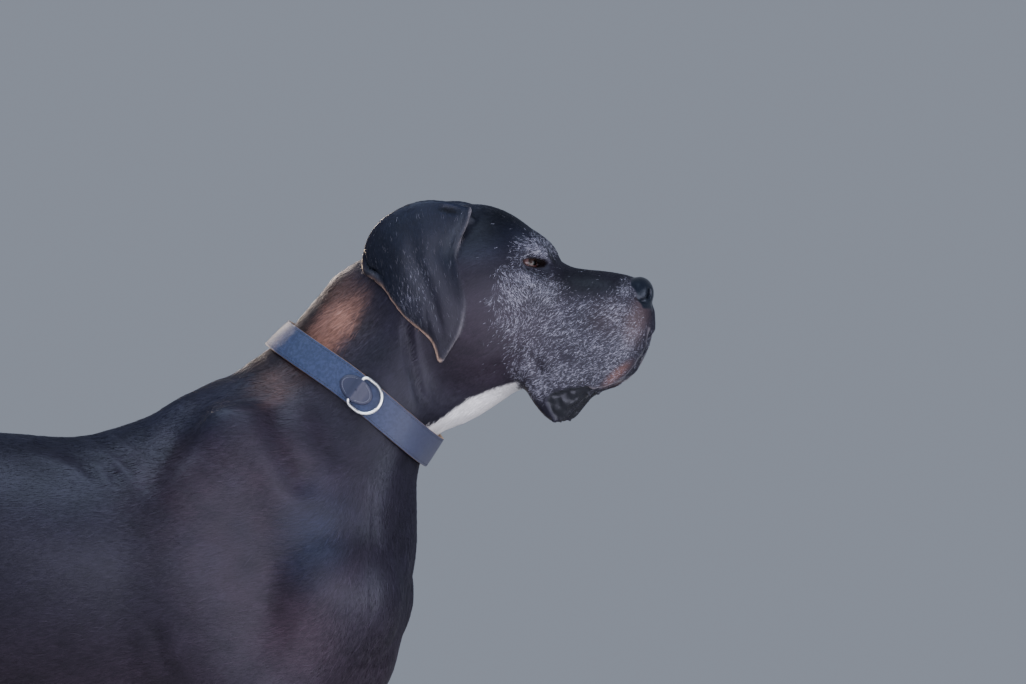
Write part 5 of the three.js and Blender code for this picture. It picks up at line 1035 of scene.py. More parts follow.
class Nodes:
    """Short hand for shader nodes."""
    def __init__(self, tree):
        self.t = tree
    def new(self, kind, **props):
        n = self.t.nodes.new(kind)
        for k, v in props.items():
            setattr(n, k, v)
        return n
    def link(self, a, b):
        self.t.links.new(a, b)
    def put(self, socket, v):
        if isinstance(v, bpy.types.NodeSocket):
            self.link(v, socket)
        else:
            socket.default_value = v
    def math(self, op, a, b=0.0, c=0.0, clamp=False):
        n = self.new("ShaderNodeMath", operation=op, use_clamp=clamp)
        for s, v in zip(n.inputs, (a, b, c)):
            self.put(s, v)
        return n.outputs[0]
    def attr(self, name, out="Fac"):
        n = self.new("ShaderNodeAttribute", attribute_name=name)
        return n.outputs[out]
    def vec(self, op, a, b=(0, 0, 0), out=0):
        n = self.new("ShaderNodeVectorMath", operation=op)
        self.put(n.inputs[0], a); self.put(n.inputs[1], b)
        return n.outputs[out]
    def scale(self, a, k):
        n = self.new("ShaderNodeVectorMath", operation="SCALE")
        self.put(n.inputs[0], a); self.put(n.inputs["Scale"], k)
        return n.outputs[0]
    def noise(self, where, scale, detail=2.0, rough=0.5):
        n = self.new("ShaderNodeTexNoise")
        self.put(n.inputs["Vector"], where); n.inputs["Scale"].default_value = scale
        n.inputs["Detail"].default_value = detail; n.inputs["Roughness"].default_value = rough
        return n.outputs["Fac"]
    def ramp(self, v, lo, hi, a=0.0, b=1.0):
        n = self.new("ShaderNodeMapRange", clamp=True)
        for s, x in zip(n.inputs, (v, lo, hi, a, b)):
            self.put(s, x)
        return n.outputs[0]
    def mix(self, f, a, b):
        n = self.new("ShaderNodeMix", data_type="RGBA")
        self.put(n.inputs[0], f); self.put(n.inputs[6], a); self.put(n.inputs[7], b)
        return n.outputs[2]
    def bump(self, h, distance, strength=1.0, normal=None):
        n = self.new("ShaderNodeBump")
        self.put(n.inputs["Height"], h); n.inputs["Distance"].default_value = distance
        self.put(n.inputs["Strength"], strength)
        if normal is not None:
            self.link(normal, n.inputs["Normal"])
        return n.outputs[0]

def streaks(N, where, flow, fine, stretch, count=6):
    """Noise drawn out along the hair: fixed directions in the side view, mixed by how near each is to the hair's own."""
    total, weight = None, None
    for i in range(count):
        a = math.pi * i / count
        d = (math.cos(a), 0.0, math.sin(a))
        w = N.math("POWER", N.math("ABSOLUTE", N.vec("DOT_PRODUCT", flow, d, out="Value")), 14.0)
        along = N.vec("DOT_PRODUCT", where, d, out="Value")
        n = N.new("ShaderNodeVectorMath", operation="MULTIPLY_ADD")
        N.put(n.inputs[0], N.scale(d, along)); n.inputs[1].default_value = (1 / stretch - 1,) * 3; N.put(n.inputs[2], where)
        v = N.math("MULTIPLY", N.noise(n.outputs[0], fine, 2.0, 0.6), w)
        total = v if total is None else N.math("ADD", total, v)
        weight = w if weight is None else N.math("ADD", weight, w)
    return N.math("DIVIDE", total, N.math("ADD", weight, 0.0001))

HAIR_ROUGH = 0.46
skin_mat, tree, bsdf = material("short_coat", rough=HAIR_ROUGH, Specular_IOR_Level=0.36, Specular_Tint=(0.80, 0.84, 1.0, 1), Sheen_Weight=0.03, Sheen_Roughness=0.4)
bsdf.inputs["Sheen Tint"].default_value = (0.75, 0.85, 1.0, 1)
K = Nodes(tree)
where = K.new("ShaderNodeNewGeometry").outputs["Position"]
flow = K.attr("flow", "Vector")
fine = streaks(K, where, flow, 900.0, 9.0)
broad = streaks(K, where, flow, 210.0, 6.0)
tone = K.attr("tone", "Color")
wet, pebble, grey = K.attr("wet"), K.attr("pebble"), K.attr("greying")
lit = K.math("ADD", K.math("MULTIPLY", K.ramp(fine, 0.36, 0.64), 0.75), K.math("ADD", K.math("MULTIPLY", broad, 0.5), 0.35))
shaded = K.new("ShaderNodeMix", data_type="RGBA", blend_type="MULTIPLY")
shaded.inputs[0].default_value = 1.0
K.link(tone, shaded.inputs[6]); K.link(lit, shaded.inputs[7])
plain = K.mix(wet, shaded.outputs[2], tone)
dash = K.math("MULTIPLY", K.ramp(K.math("ADD", fine, K.math("MULTIPLY", grey, 0.13)), 0.60, 0.67), K.ramp(grey, 0.02, 0.25))
K.link(K.mix(K.math("MULTIPLY", dash, 0.55), plain, (*GREY, 1)), bsdf.inputs["Base Color"])
K.link(K.math("ADD", K.math("MULTIPLY", wet, 0.27 - HAIR_ROUGH), HAIR_ROUGH), bsdf.inputs["Roughness"])
dry = K.math("SUBTRACT", 1.0, wet)
n1 = K.bump(broad, 0.0011, K.math("MULTIPLY", dry, 0.40))
n2 = K.bump(fine, 0.0005, K.math("MULTIPLY", dry, 0.6), n1)
cells = K.new("ShaderNodeTexVoronoi", feature="F1")
K.link(where, cells.inputs["Vector"]); cells.inputs["Scale"].default_value = 620.0
n3 = K.bump(cells.outputs["Distance"], 0.0005, K.math("MULTIPLY", pebble, 0.35), n2)
K.link(n3, bsdf.inputs["Normal"])

hair_mat, tree, bsdf = material("coat_tufts", rough=0.44, Specular_IOR_Level=0.36, Specular_Tint=(0.80, 0.84, 1.0, 1), Sheen_Weight=0.03)
bsdf.inputs["Sheen Tint"].default_value = (0.75, 0.85, 1.0, 1)
K = Nodes(tree)
K.link(K.attr("tone", "Color"), bsdf.inputs["Base Color"])

# -------------------------------------------------------------- mesh building
def make(name, pts, faces, mat, smooth_faces=True, row=False):
    """A mesh object from points in mm of the dog's frame (or metres of the row frame) and an array of faces."""
    pts = np.asarray(pts, float) if row else (np.asarray(pts, float) + SHIFT) / 1000
    faces = np.asarray(faces)
    me = bpy.data.meshes.new(name)
    k = faces.shape[1]
    me.vertices.add(len(pts)); me.vertices.foreach_set("co", pts.astype(np.float32).ravel())
    me.loops.add(faces.size); me.loops.foreach_set("vertex_index", faces.astype(np.int32).ravel())
    me.polygons.add(len(faces))
    me.polygons.foreach_set("loop_start", np.arange(0, faces.size, k, dtype=np.int32))
    me.polygons.foreach_set("loop_total", np.full(len(faces), k, np.int32))
    me.update(calc_edges=True)
    me.polygons.foreach_set("use_smooth", np.full(len(faces), smooth_faces))
    me.materials.append(mat)
    o = bpy.data.objects.new(name, me)
    bpy.context.scene.collection.objects.link(o)
    return o

def colour(o, name, values):
    """A colour on each vertex."""
    a = o.data.color_attributes.new(name, "FLOAT_COLOR", "POINT")
    v = np.ones((len(o.data.vertices), 4), np.float32); v[:, :3] = values
    a.data.foreach_set("color", v.ravel())

def number(o, name, values):
    a = o.data.attributes.new(name, "FLOAT", "POINT")
    a.data.foreach_set("value", np.asarray(values, np.float32))

def vector(o, name, values):
    a = o.data.attributes.new(name, "FLOAT_VECTOR", "POINT")
    a.data.foreach_set("vector", np.asarray(values, np.float32).ravel())

FLESH = ["nose", "head", "neck", "trunk", "tail"] + [f"{a}_{s}" for a in ("foreleg", "hindleg", "paw_fore", "paw_hind", "ear") for s in ("left", "right")]
skin = make("skin", P, Q, skin_mat)
colour(skin, "tone", base)
vector(skin, "flow", FLOW)
number(skin, "wet", WETNESS)
number(skin, "greying", GREYING * (1 - HAIRLESS))
number(skin, "pebble", np.maximum(nose_pad, 0.6 * pads))
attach(skin, "root"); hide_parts(*FLESH)


# --------------------------------------------------------------------- the coat
SKIN_BVH = BVHTree.FromPolygons(P.tolist(), Q.tolist())

def region_of(q, ear):
    """0 head, 1 neck, 2 trunk, 3 forelegs, 4 hind legs, 5 tail, 6 ear, at unposed points."""
    x, y, z = q.T
    t = along_neck(q)
    r = np.full(len(q), 2)
    r[(z < 480) & (x > -200)] = 3
    r[(z < 600) & (x < -330)] = 4
    r[(x < -608) & (y < 40) & (z < 735)] = 5
    r[(x < -625) & (y < 40)] = 5
    r[(t > -55) & (z > 650) & (x > 0)] = 1
    r[(x > 268) & (z > 812) & (t > 60)] = 0
    r[ear > 0.35] = 6
    return r

def unwrap(q, side, region):
    """Place of a point on an unwrap of its region: once round its own axis across, its length up; 0 to 1 both ways."""
    x, y, z = q[:, 0], q[:, 1] * side, q[:, 2]
    lo = {0: 230, 1: -60, 2: -650, 3: 0, 4: 0, 5: 200, 6: 860}[region]
    hi = {0: 560, 1: 150, 2: 260, 3: 490, 4: 610, 5: 740, 6: 1080}[region]
    if region == 0:
        a, b, v = y, z - 950, x
    elif region == 1:
        a, b, v = y, -(x - NECK_O[0]) * NECK_A[1] + (z - NECK_O[1]) * NECK_A[0], along_neck(q)
    elif region == 2:
        a, b, v = y, z - 610, x
    elif region == 3:
        a, b, v = y - 88 * side, x - 66, z
    elif region == 4:
        a, b, v = y - 88 * side, x - np.interp(z, [0, 200, 400, 600], [-590, -605, -470, -470]), z
    elif region == 5:
        a, b, v = y, x + 645, z
    else:
        a, b, v = y - 78 * side, x - 265, z
    u = np.arctan2(a, b) / (2 * math.pi) + 0.5
    v = (v - lo) / (hi - lo)
    if region in (3, 4, 6):     # the two sides share the square, one beside the other
        u = u * 0.5 + np.where(side > 0, 0.5, 0.0)
    return 0.02 + 0.95 * np.stack([u, np.clip(v, 0, 1)], 1)

tri_area = 0.5 * np.linalg.norm(np.cross(P[T[:, 1]] - P[T[:, 0]], P[T[:, 2]] - P[T[:, 0]]), axis=1)
tri_mid_u = U[T].mean(1)
tri_ear = EAR[T].mean(1)
tri_region = region_of(tri_mid_u, tri_ear)
tri_bare = HAIRLESS[T].max(1)
STRAP_C = np.array([178.0, 0, 834.5]); STRAP_A = np.array([math.cos(math.radians(52.5)), 0, math.sin(math.radians(52.5))])
def from_strap(p):
    """Distance along the neck from the middle of the collar, which bows lower on its sides."""
    r = p - STRAP_C
    t = r @ STRAP_A
    o = r - t[:, None] * STRAP_A
    s = o[:, 1] / (np.linalg.norm(o, axis=1) + 1e-9)
    return t - 7.0 * s * s
tri_mid = P[T].mean(1)
near_neck = (np.linalg.norm(tri_mid - STRAP_C, axis=1) < 190)
tri_strap = np.where(near_neck, np.abs(from_strap(tri_mid)), 99)

def roots(weight, n):
    """n points on the skin, as many in each triangle as its area times weight asks."""
    w = tri_area * weight
    c = np.cumsum(w)
    k = np.searchsorted(c, rng.random(n) * c[-1])
    k = np.minimum(k, len(T) - 1)
    a, b = rng.random(n), rng.random(n)
    f = a + b > 1
    a[f], b[f] = 1 - a[f], 1 - b[f]
    wts = np.stack([1 - a - b, a, b], 1)
    def blend(v):
        return (v[T[k]] * wts.reshape(n, 3, *([1] * (v.ndim - 1)))).sum(1)
    return k, blend

def snap(points, reach=25.0):
    """Nearest points of the skin and its normals there."""
    C, M = np.empty_like(points), np.empty_like(points)
    find = SKIN_BVH.find_nearest
    for i, p in enumerate(points.tolist()):
        co, no, _, _ = find(p, reach)
        if co is None:
            C[i] = p; M[i] = (0, 0, 1)
        else:
            C[i] = co; M[i] = no
    return C, M

def tufts(name, n, weight, length, width, thick, rise, spread, tint, fine=False, parts=1, bleach=None):
    """n flat-lying tufts.  length, width and rise (height of the tip over the skin) in mm are functions of the unposed root; each tuft is a closed three-sided blade, in one span where fine and in two elsewhere."""
    k, blend = roots(weight, n)
    R, nn, fl, q = blend(P), blend(N), blend(FLOW), blend(U)
    nn /= np.linalg.norm(nn, axis=1)[:, None]
    sd = SIDE[T[k, 0]]
    fl = fl - nn * (fl * nn).sum(1)[:, None]
    fl /= np.linalg.norm(fl, axis=1)[:, None] + 1e-9
    across = np.cross(nn, fl)
    ang = rng.normal(size=n) * spread
    fl, across = fl * np.cos(ang)[:, None] + across * np.sin(ang)[:, None], across * np.cos(ang)[:, None] - fl * np.sin(ang)[:, None]
    L = length(q) * rng.uniform(0.7, 1.2, n)
    W = width(q) * rng.uniform(0.75, 1.25, n) / 2
    H = rise(q) * rng.uniform(0.5, 1.25, n)
    tip, tn = snap(R + fl * L[:, None])
    tip = tip + tn * H[:, None]
    th = thick if not callable(thick) else thick(q)
    root = R - nn * 0.35
    ring1 = [root + across * W[:, None], root - across * W[:, None], root + nn * (np.broadcast_to(th, n) + 0.35)[:, None]]
    if fine:
        V = np.stack(ring1 + [tip], 1)
        F = np.array([[0, 1, 2], [0, 3, 1], [1, 3, 2], [2, 3, 0]])
        C = np.array([0.75, 0.75, 0.75, 1.0])
    else:
        mid, mn = snap(R + fl * (L * 0.5)[:, None])
        lift = H * 0.45
        base2 = mid + mn * (lift - 0.15)[:, None]
        ac2 = np.cross(mn, fl); ac2 /= np.linalg.norm(ac2, axis=1)[:, None] + 1e-9
        w2 = W * 0.86
        ring2 = [base2 + ac2 * w2[:, None], base2 - ac2 * w2[:, None], base2 + mn * (np.broadcast_to(th, n))[:, None]]
        V = np.stack(ring1 + ring2 + [tip], 1)
        F = np.array([[0, 1, 2], [0, 3, 1], [1, 3, 4], [1, 4, 2], [2, 4, 5], [2, 5, 0], [0, 5, 3], [3, 6, 4], [4, 6, 5], [5, 6, 3]])
        C = np.array([0.7, 0.7, 0.8, 0.95, 0.95, 1.0, 1.1])
    nv, nf = V.shape[1], len(F)
    # each tuft shades as a soft round lock over the skin beneath it
    def soft(a, b, c):
        v = a + b * across * 0.30 + c * fl * 0.10
        return v / np.linalg.norm(v, axis=1)[:, None]
    if fine:
        SN = np.stack([soft(nn, 1, -1), soft(nn, -1, -1), soft(nn, 0, -1), soft(tn, 0, 1)], 1)
    else:
        SN = np.stack([soft(nn, 1, -1), soft(nn, -1, -1), soft(nn, 0, -1), soft(mn, 1, 0), soft(mn, -1, 0), soft(mn, 0, 0), soft(tn, 0, 1)], 1)
    col = tint(q, k, n)
    reg = region_of(q, tri_ear[k])
    made = []
    order = np.argsort(sd, kind="stable")
    for part, ids in enumerate(np.array_split(order, parts)):
        m = len(ids)
        o = make(f"{name}_{part + 1}" if parts > 1 else name, V[ids].reshape(-1, 3), (F[None] + (np.arange(m) * nv)[:, None, None]).reshape(-1, 3), hair_mat)
        colour(o, "tone", (col[ids][:, None, :] * C[None, :, None]).reshape(-1, 3))
        uv = np.empty((m, 2))
        for r in np.unique(reg[ids]):
            s = reg[ids] == r
            uv[s] = unwrap(q[ids][s], sd[ids][s], int(r))
        corner = np.array([[0.0, 0.0], [0.0024, 0.0], [0.0012, 0.0006], [0.0003, 0.0014], [0.0021, 0.0014], [0.0012, 0.0018], [0.0012, 0.0028]])
        if fine:
            corner = corner[[0, 1, 2, 6]]
        layer = o.data.uv_layers.new(name="OFBake")
        P2 = (uv[:, None, None, :] + corner[F][None]).reshape(-1, 2)
        layer.data.foreach_set("uv", P2.astype(np.float32).ravel())
        o.data.normals_split_custom_set_from_vertices(SN[ids].reshape(-1, 3).tolist())
        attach(o, "root")
        made.append(o)
    return made


def tone_of(q, k, n, keep=1.0, lightest=1.45):
    """Colour of tufts at their roots: the ground's own, with its painted sheen, sunlight and shadows, a little uneven,
    some of them grey or white.
    """
    col, g, w = marks(q, tri_ear[k], None)
    col = col * rng.uniform(0.70, lightest, n)[:, None]
    ear = tri_ear[k]
    grey = rng.random(n) < g * keep * 0.50
    col[grey] = GREY[None] * (rng.uniform(0.22, 1.45, grey.sum()) * (1 - 0.70 * ear[grey]))[:, None]
    white = rng.random(n) < w
    col[white] = WHITE[None] * rng.uniform(0.75, 1.1, white.sum())[:, None]
    return col

bare = 1 - smooth((tri_bare - 0.15) / 0.4)
clear = np.where(tri_strap < 16.5, 0.0, 1.0)
body_w = np.isin(tri_region, (2,)) * bare * clear
neck_w = np.isin(tri_region, (1,)) * bare * clear
leg_w = np.isin(tri_region, (3, 4, 5)) * bare * np.where(tri_mid[:, 2] < 2.5, 0, 1)
head_w = np.isin(tri_region, (0,)) * bare * clear
ear_w = np.isin(tri_region, (6,)) * 1.0

def nape_of(q):
    t = along_neck(q)
    return smooth((t + 70) / 30) * smooth((128 - t) / 30) * smooth(((q[:, 2] - 834) * NECK_A[0] - (q[:, 0] - 177) * NECK_A[1] - 35) / 50)

def collar_gap(q):
    """1 close by the collar's edges, where the hair is short or pressed."""
    w = q.copy()
    return np.exp(-((np.abs(from_strap(w)) - 20) / 9) ** 2) * (np.linalg.norm(w - STRAP_C, axis=1) < 190)

def belly_of(q):
    return smooth((470 - q[:, 2]) / 60) * smooth((q[:, 0] + 420) / 60) * smooth((120 - q[:, 0]) / 60)

def breech_of(q):
    """Rear edge of the thigh and the underside of the tail."""
    return smooth((-545 - q[:, 0]) / 30) * smooth((q[:, 2] - 330) / 60)

def broken_of(q):
    """Where longer hair breaks the outline: nape, belly, breech and the tail's underside."""
    return np.clip(np.maximum.reduce([nape_of(q), belly_of(q), breech_of(q), 0.7 * ridge_of(q)]), 0, 1)

def ridge_of(q):
    """Along the top of the back."""
    return smooth((14 - q[:, 1]) / 8) * smooth((q[:, 2] - 730) / 30) * smooth((60 - q[:, 0]) / 40)

COUNT = 1.0
broken = broken_of(tri_mid_u)
rufous = blob(tri_mid_u, 165, 925, 44, 64, -38, 0.9)
tufts("coat_trunk", int(92000 * COUNT), body_w,
      lambda q: 13.5 + 0 * q[:, 0], lambda q: 1.45 + 0 * q[:, 0], 0.22,
      lambda q: 0.75 + 0.5 * belly_of(q), 0.17, tone_of, fine=True, parts=3)
tufts("coat_trunk_long", int(9500 * COUNT), body_w * (0.02 + broken),
      lambda q: 19 + 6 * belly_of(q) + 7 * breech_of(q), lambda q: 1.9 + 0 * q[:, 0], 0.34,
      lambda q: 1.3 + 1.1 * belly_of(q) + 1.3 * breech_of(q) + 1.2 * nape_of(q), 0.2, tone_of)
tufts("coat_neck", int(37000 * COUNT), neck_w,
      lambda q: 11.5 + 3 * nape_of(q), lambda q: 1.25 + 0 * q[:, 0], 0.22,
      lambda q: 0.8 + 0.8 * nape_of(q) + 0.6 * collar_gap(q), 0.19, tone_of, fine=True)
tufts("coat_nape", int(9000 * COUNT), neck_w * (0.01 + nape_of(tri_mid_u) + 2.2 * rufous),
      lambda q: 16 + 8 * blob(q, 165, 925, 40, 60, -38, 0.9), lambda q: 1.5 + 0 * q[:, 0], 0.34,
      lambda q: 1.6 + 1.7 * blob(q, 165, 925, 40, 60, -38, 0.9), 0.22, tone_of)
tufts("coat_legs", int(50000 * COUNT), leg_w * (1 + 1.2 * smooth((90 - tri_mid[:, 2]) / 30)),
      lambda q: (10.5 + 7 * breech_of(q)) * (0.45 + 0.55 * smooth((q[:, 2] - 20) / 100)), lambda q: 1.35 * (0.6 + 0.4 * smooth((q[:, 2] - 20) / 100)), 0.22,
      lambda q: 0.7 + 1.1 * breech_of(q), 0.2, tone_of, fine=True, parts=2)
tufts("coat_face", int(90000 * COUNT), head_w * (1 + 1.1 * smooth((tri_mid_u[:, 0] - 345) / 30)),
      lambda q: 4.4 - 1.3 * smooth((q[:, 0] - 400) / 60), lambda q: 0.72 - 0.18 * smooth((q[:, 0] - 380) / 50), 0.15,
      lambda q: 0.65 + 0 * q[:, 0], 0.42, tone_of, fine=True, parts=2)
tufts("coat_ears", int(26000 * COUNT), ear_w,
      lambda q: 6.8 + 0 * q[:, 0], lambda q: 0.85 + 0 * q[:, 0], 0.16,
      lambda q: 0.35 + 0 * q[:, 0], 0.18, lambda q, k, n: tone_of(q, k, n, lightest=1.6), fine=True)


# ------------------------------------------------------------------------ eyes
eye_mat, tree, bsdf = material("eye_wet", rough=0.2, Specular_IOR_Level=0.3, Coat_Weight=0.35, Coat_Roughness=0.03, Coat_IOR=1.376)
K = Nodes(tree)
K.link(K.attr("tone", "Color"), bsdf.inputs["Base Color"])
haw_mat, tree, bsdf = material("eye_rim", (0.070, 0.026, 0.026), 0.22, Specular_IOR_Level=0.5, Coat_Weight=0.6, Coat_Roughness=0.05)

def ball(name, centre, look, r, mat, rows=44, cols=64, bulge=0.9):
    th = np.linspace(0, math.pi, rows + 1)[1:-1]
    ph = np.linspace(0, 2 * math.pi, cols, endpoint=False)
    look = look / np.linalg.norm(look)
    a = np.cross(look, (0, 0, 1.0)); a /= np.linalg.norm(a)
    b = np.cross(a, look)
    t, f = np.meshgrid(th, ph, indexing="ij")
    rr = r + bulge * np.exp(-(t / 0.42) ** 2)
    d = np.cos(t)[..., None] * look + np.sin(t)[..., None] * (np.cos(f)[..., None] * a + np.sin(f)[..., None] * b)
    V = np.concatenate([(centre + d * rr[..., None]).reshape(-1, 3), [centre + look * (r + bulge)], [centre - look * r]])
    m = len(th)
    i = np.arange((m - 1) * cols).reshape(m - 1, cols)
    j = np.roll(i, -1, 1)
    F = np.concatenate([np.stack([i, i + cols, j + cols], -1).reshape(-1, 3), np.stack([i, j + cols, j], -1).reshape(-1, 3)])
    e = np.arange(cols); e2 = np.roll(e, -1); top, bot = m * cols, m * cols + 1; last = (m - 1) * cols
    F = np.concatenate([F, np.stack([np.full(cols, top), e, e2], -1), np.stack([np.full(cols, bot), last + e2, last + e], -1)])
    o = make(name, V, F, mat)
    theta = np.concatenate([t.ravel(), [0], [math.pi]])
    phi = np.concatenate([f.ravel(), [0], [0]])
    return o, np.degrees(theta), phi

for where_, s in (("left", 1), ("right", -1)):
    c0 = EYE_C * (1, s, 1)
    centre = pose(c0[None])[0]
    look = pose((c0 + LOOK * (1, s, 1) * 10)[None])[0] - centre
    o, th, ph = ball(f"eye_ball_{where_}", centre, look, EYE_R - 0.25, eye_mat)
    # the dog looks ahead, so the iris sits nearer the inner corner
    ahead = pose((c0 + (LOOK + (0.30, 0, 0)) * (1, s, 1) * 10)[None])[0] - centre
    ahead /= np.linalg.norm(ahead)
    D = np.array([v.co[:] for v in o.data.vertices]) * 1000 - centre - SHIFT
    D /= np.linalg.norm(D, axis=1)[:, None]
    side_ = np.cross(ahead, (0, 0, 1.0)); side_ /= np.linalg.norm(side_)
    th = np.degrees(np.arccos(np.clip(D @ ahead, -1, 1)))
    ph = np.arctan2(D @ np.cross(side_, ahead), D @ side_)
    rays = 0.5 + 0.5 * np.sin(ph * 23 + 2 * np.sin(ph * 7)) * np.sin(ph * 41)
    iris = np.array([0.034, 0.019, 0.016]) * (0.55 + 0.7 * rays)[:, None]
    white_ = np.array([0.105, 0.060, 0.062]) * (1.0 - 0.35 * smooth((th - 55) / 30))[:, None]
    c = np.where((th < 15)[:, None], np.array([0.002, 0.002, 0.002]), iris)
    rim = smooth((th - 30) / 4)[:, None]
    c = c * (1 - rim) + np.array([0.012, 0.007, 0.006]) * rim
    out = smooth((th - 38) / 8)[:, None]
    c = c * (1 - out) + white_ * out
    colour(o, "tone", c)
    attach(o, "root"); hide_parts(f"eye_{where_}")
    # the third lid shows as a small wet fold in the inner corner and along the lower lid
    pts, rad = [], []
    for f in np.linspace(0, 1, 15):
        a = math.radians(-8 + 150 * f)
        on = INNER * math.cos(a) * SLIT * 0.88 + LIDUP * (-math.sin(a)) * SLIT_LOW * 0.72
        w = math.sqrt(max(1.0, (EYE_R + 0.1) ** 2 - on @ on))
        pts.append(EYE_C + on + LOOK * (w - 0.1)); rad.append(0.35 + 1.25 * math.exp(-(f / 0.28) ** 2) + 0.35 * math.sin(math.pi * f))
    pts = np.array(pts) * (1, s, 1)
    ring = 10
    V = []
    for i, (p, r) in enumerate(zip(pts, rad)):
        d = pts[min(i + 1, 14)] - pts[max(i - 1, 0)]; d /= np.linalg.norm(d)
        a = np.cross(d, (0, 0, 1.0)); a /= np.linalg.norm(a) + 1e-9; b = np.cross(d, a)
        for j in range(ring):
            g = 2 * math.pi * j / ring
            V.append(p + r * (math.cos(g) * a + math.sin(g) * b))
    F = [(i * ring + j, i * ring + (j + 1) % ring, (i + 1) * ring + (j + 1) % ring) for i in range(14) for j in range(ring)]
    F += [(i * ring + j, (i + 1) * ring + (j + 1) % ring, (i + 1) * ring + j) for i in range(14) for j in range(ring)]
    V += [pts[0], pts[-1]]
    F += [(150, (j + 1) % ring, j) for j in range(ring)] + [(151, 140 + j, 140 + (j + 1) % ring) for j in range(ring)]
    o = make(f"eye_third_lid_{where_}", pose(np.array(V)), F, haw_mat)
    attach(o, "root")

# ----------------------------------------------------------------------- claws
claw_mat, tree, bsdf = material("horn", (0.030, 0.025, 0.022), 0.32, Specular_IOR_Level=0.5)
K = Nodes(tree)
p = K.new("ShaderNodeNewGeometry").outputs["Position"]
K.link(K.bump(K.noise(p, 900, 3), 0.0003, 0.5), bsdf.inputs["Normal"])
for name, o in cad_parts.items():
    if name.startswith(("claw", "dewclaw")):
        o.data.materials.clear(); o.data.materials.append(claw_mat)
        m = o.modifiers.new("weld", "WELD"); m.merge_threshold = 0.00002
        m = o.modifiers.new("round", "SUBSURF"); m.levels = 2; m.render_levels = 2
        m = o.modifiers.new("stout", "DISPLACE"); m.mid_level = 0; m.strength = 0.0008


# ---------------------------------------------------------------------- collar
W_, H_ = 20.0, 4.0
CLEAR, BOW, TURNS = 3.0, 7.0, 40
def coat_depth(p):
    return 3.2 + (1.6 - 3.2) * smooth((p[:, 0] - 250) / 130) * smooth((p[:, 2] - 760) / 60)

def outward(a):
    a = np.asarray(a, float)
    return np.stack([-STRAP_A[2] * np.cos(a), np.sin(a), STRAP_A[0] * np.cos(a)], -1)

def girth(a, t):
    """From the collar's axis to the coat, at angles a and distances t along the neck."""
    c, d = STRAP_C + STRAP_A * t[:, None], outward(a)
    lo, hi = np.full(len(a), 50.0), np.full(len(a), 175.0)
    for _ in range(22):
        m = (lo + hi) / 2
        p = c + d * m[:, None]
        f = field(p) - coat_depth(p)
        lo, hi = np.where(f < 0, m, lo), np.where(f < 0, hi, m)
    return lo
_a = np.arange(TURNS) / TURNS * 2 * math.pi
_b = BOW * np.sin(_a) ** 2
_r0, _r1, _r2 = girth(_a, _b - W_), girth(_a, _b), girth(_a, _b + W_)
_lift = np.maximum(0, _r1 - (_r0 + _r2) / 2)
_LOW, _HIGH = _r0 + _lift + CLEAR, _r2 + _lift + CLEAR

def strap_point(a, t, h):
    """Point of the collar: angle round the neck, distance across toward the head, height over its inner face."""
    a, t, h = np.broadcast_arrays(np.asarray(a, float), np.asarray(t, float), np.asarray(h, float))
    f = (a / (2 * math.pi)) % 1 * TURNS
    i = np.floor(f).astype(int) % TURNS
    k = f - np.floor(f)
    def curve(v):      # smooth through the measured angles
        v0, v1, v2, v3 = v[(i - 1) % TURNS], v[i], v[(i + 1) % TURNS], v[(i + 2) % TURNS]
        return 0.5 * (2 * v1 + (v2 - v0) * k + (2 * v0 - 5 * v1 + 4 * v2 - v3) * k * k + (3 * v1 - v0 - 3 * v2 + v3) * k ** 3)
    low, high, bow = curve(_LOW), curve(_HIGH), curve(_b)
    s = t / (2 * W_) + 0.5
    return STRAP_C + STRAP_A * (bow + t)[..., None] + outward(a) * (low + (high - low) * s + h)[..., None]

# position along the collar by length, measured on its outer face
_fine = np.linspace(-math.pi * 2, math.pi * 2, 2881)
_fp = strap_point(_fine, 0, H_)
_len = np.r_[0, np.cumsum(np.linalg.norm(_fp[1:] - _fp[:-1], axis=1))]
def slide(a0, u):
    """Angle u mm from a0, toward the throat on its right side and toward the nape on its left."""
    return np.interp(np.interp(a0, _fine, _len) - np.asarray(u, float), _len, _fine)

leather, tree, bsdf = material("strap_leather", (0.085, 0.112, 0.160), 0.42, Specular_IOR_Level=0.38, Sheen_Weight=0.03)
K = Nodes(tree)
p = K.new("ShaderNodeNewGeometry").outputs["Position"]
cells = K.new("ShaderNodeTexVoronoi", feature="DISTANCE_TO_EDGE")
K.link(p, cells.inputs["Vector"]); cells.inputs["Scale"].default_value = 900.0
grain = K.noise(p, 260, 4)
K.link(K.bump(grain, 0.0006, 0.35, K.bump(K.ramp(cells.outputs["Distance"], 0.0, 0.12), 0.00025, 0.35)), bsdf.inputs["Normal"])
face = K.attr("edge")
worn = K.mix(K.ramp(grain, 0.42, 0.62), (0.024, 0.040, 0.100, 1), (0.040, 0.060, 0.138, 1))
# greyer toward the throat
xyz = K.new("ShaderNodeSeparateXYZ"); K.link(p, xyz.inputs[0])
worn = K.mix(K.ramp(xyz.outputs["X"], 0.255, 0.335, 0.0, 0.7), worn, (0.046, 0.046, 0.082, 1))
# tan on the strap's edges: partly the leather's burnished edge, partly painted rim light of the low sun
K.link(K.mix(face, worn, (0.46, 0.28, 0.14, 1)), bsdf.inputs["Base Color"])
thread, _, _ = material("thread", (0.15, 0.16, 0.22), 0.6)
thread_dark, _, _ = material("thread_dark", (0.012, 0.014, 0.028), 0.6)
tab_leather, _, _ = material("tab_leather", (0.040, 0.044, 0.082), 0.40, Specular_IOR_Level=0.38)
chrome, _, _ = material("polished_metal", (0.96, 0.96, 0.97), 0.24, 1.0)

def grid_faces(m, n, wrap_m=False, wrap_n=False):
    i, j = np.meshgrid(np.arange(m if wrap_m else m - 1), np.arange(n if wrap_n else n - 1), indexing="ij")
    a, b, c, d = i * n + j, i * n + (j + 1) % n, ((i + 1) % m) * n + (j + 1) % n, ((i + 1) % m) * n + j
    return np.stack([a, b, c, d], -1).reshape(-1, 4)

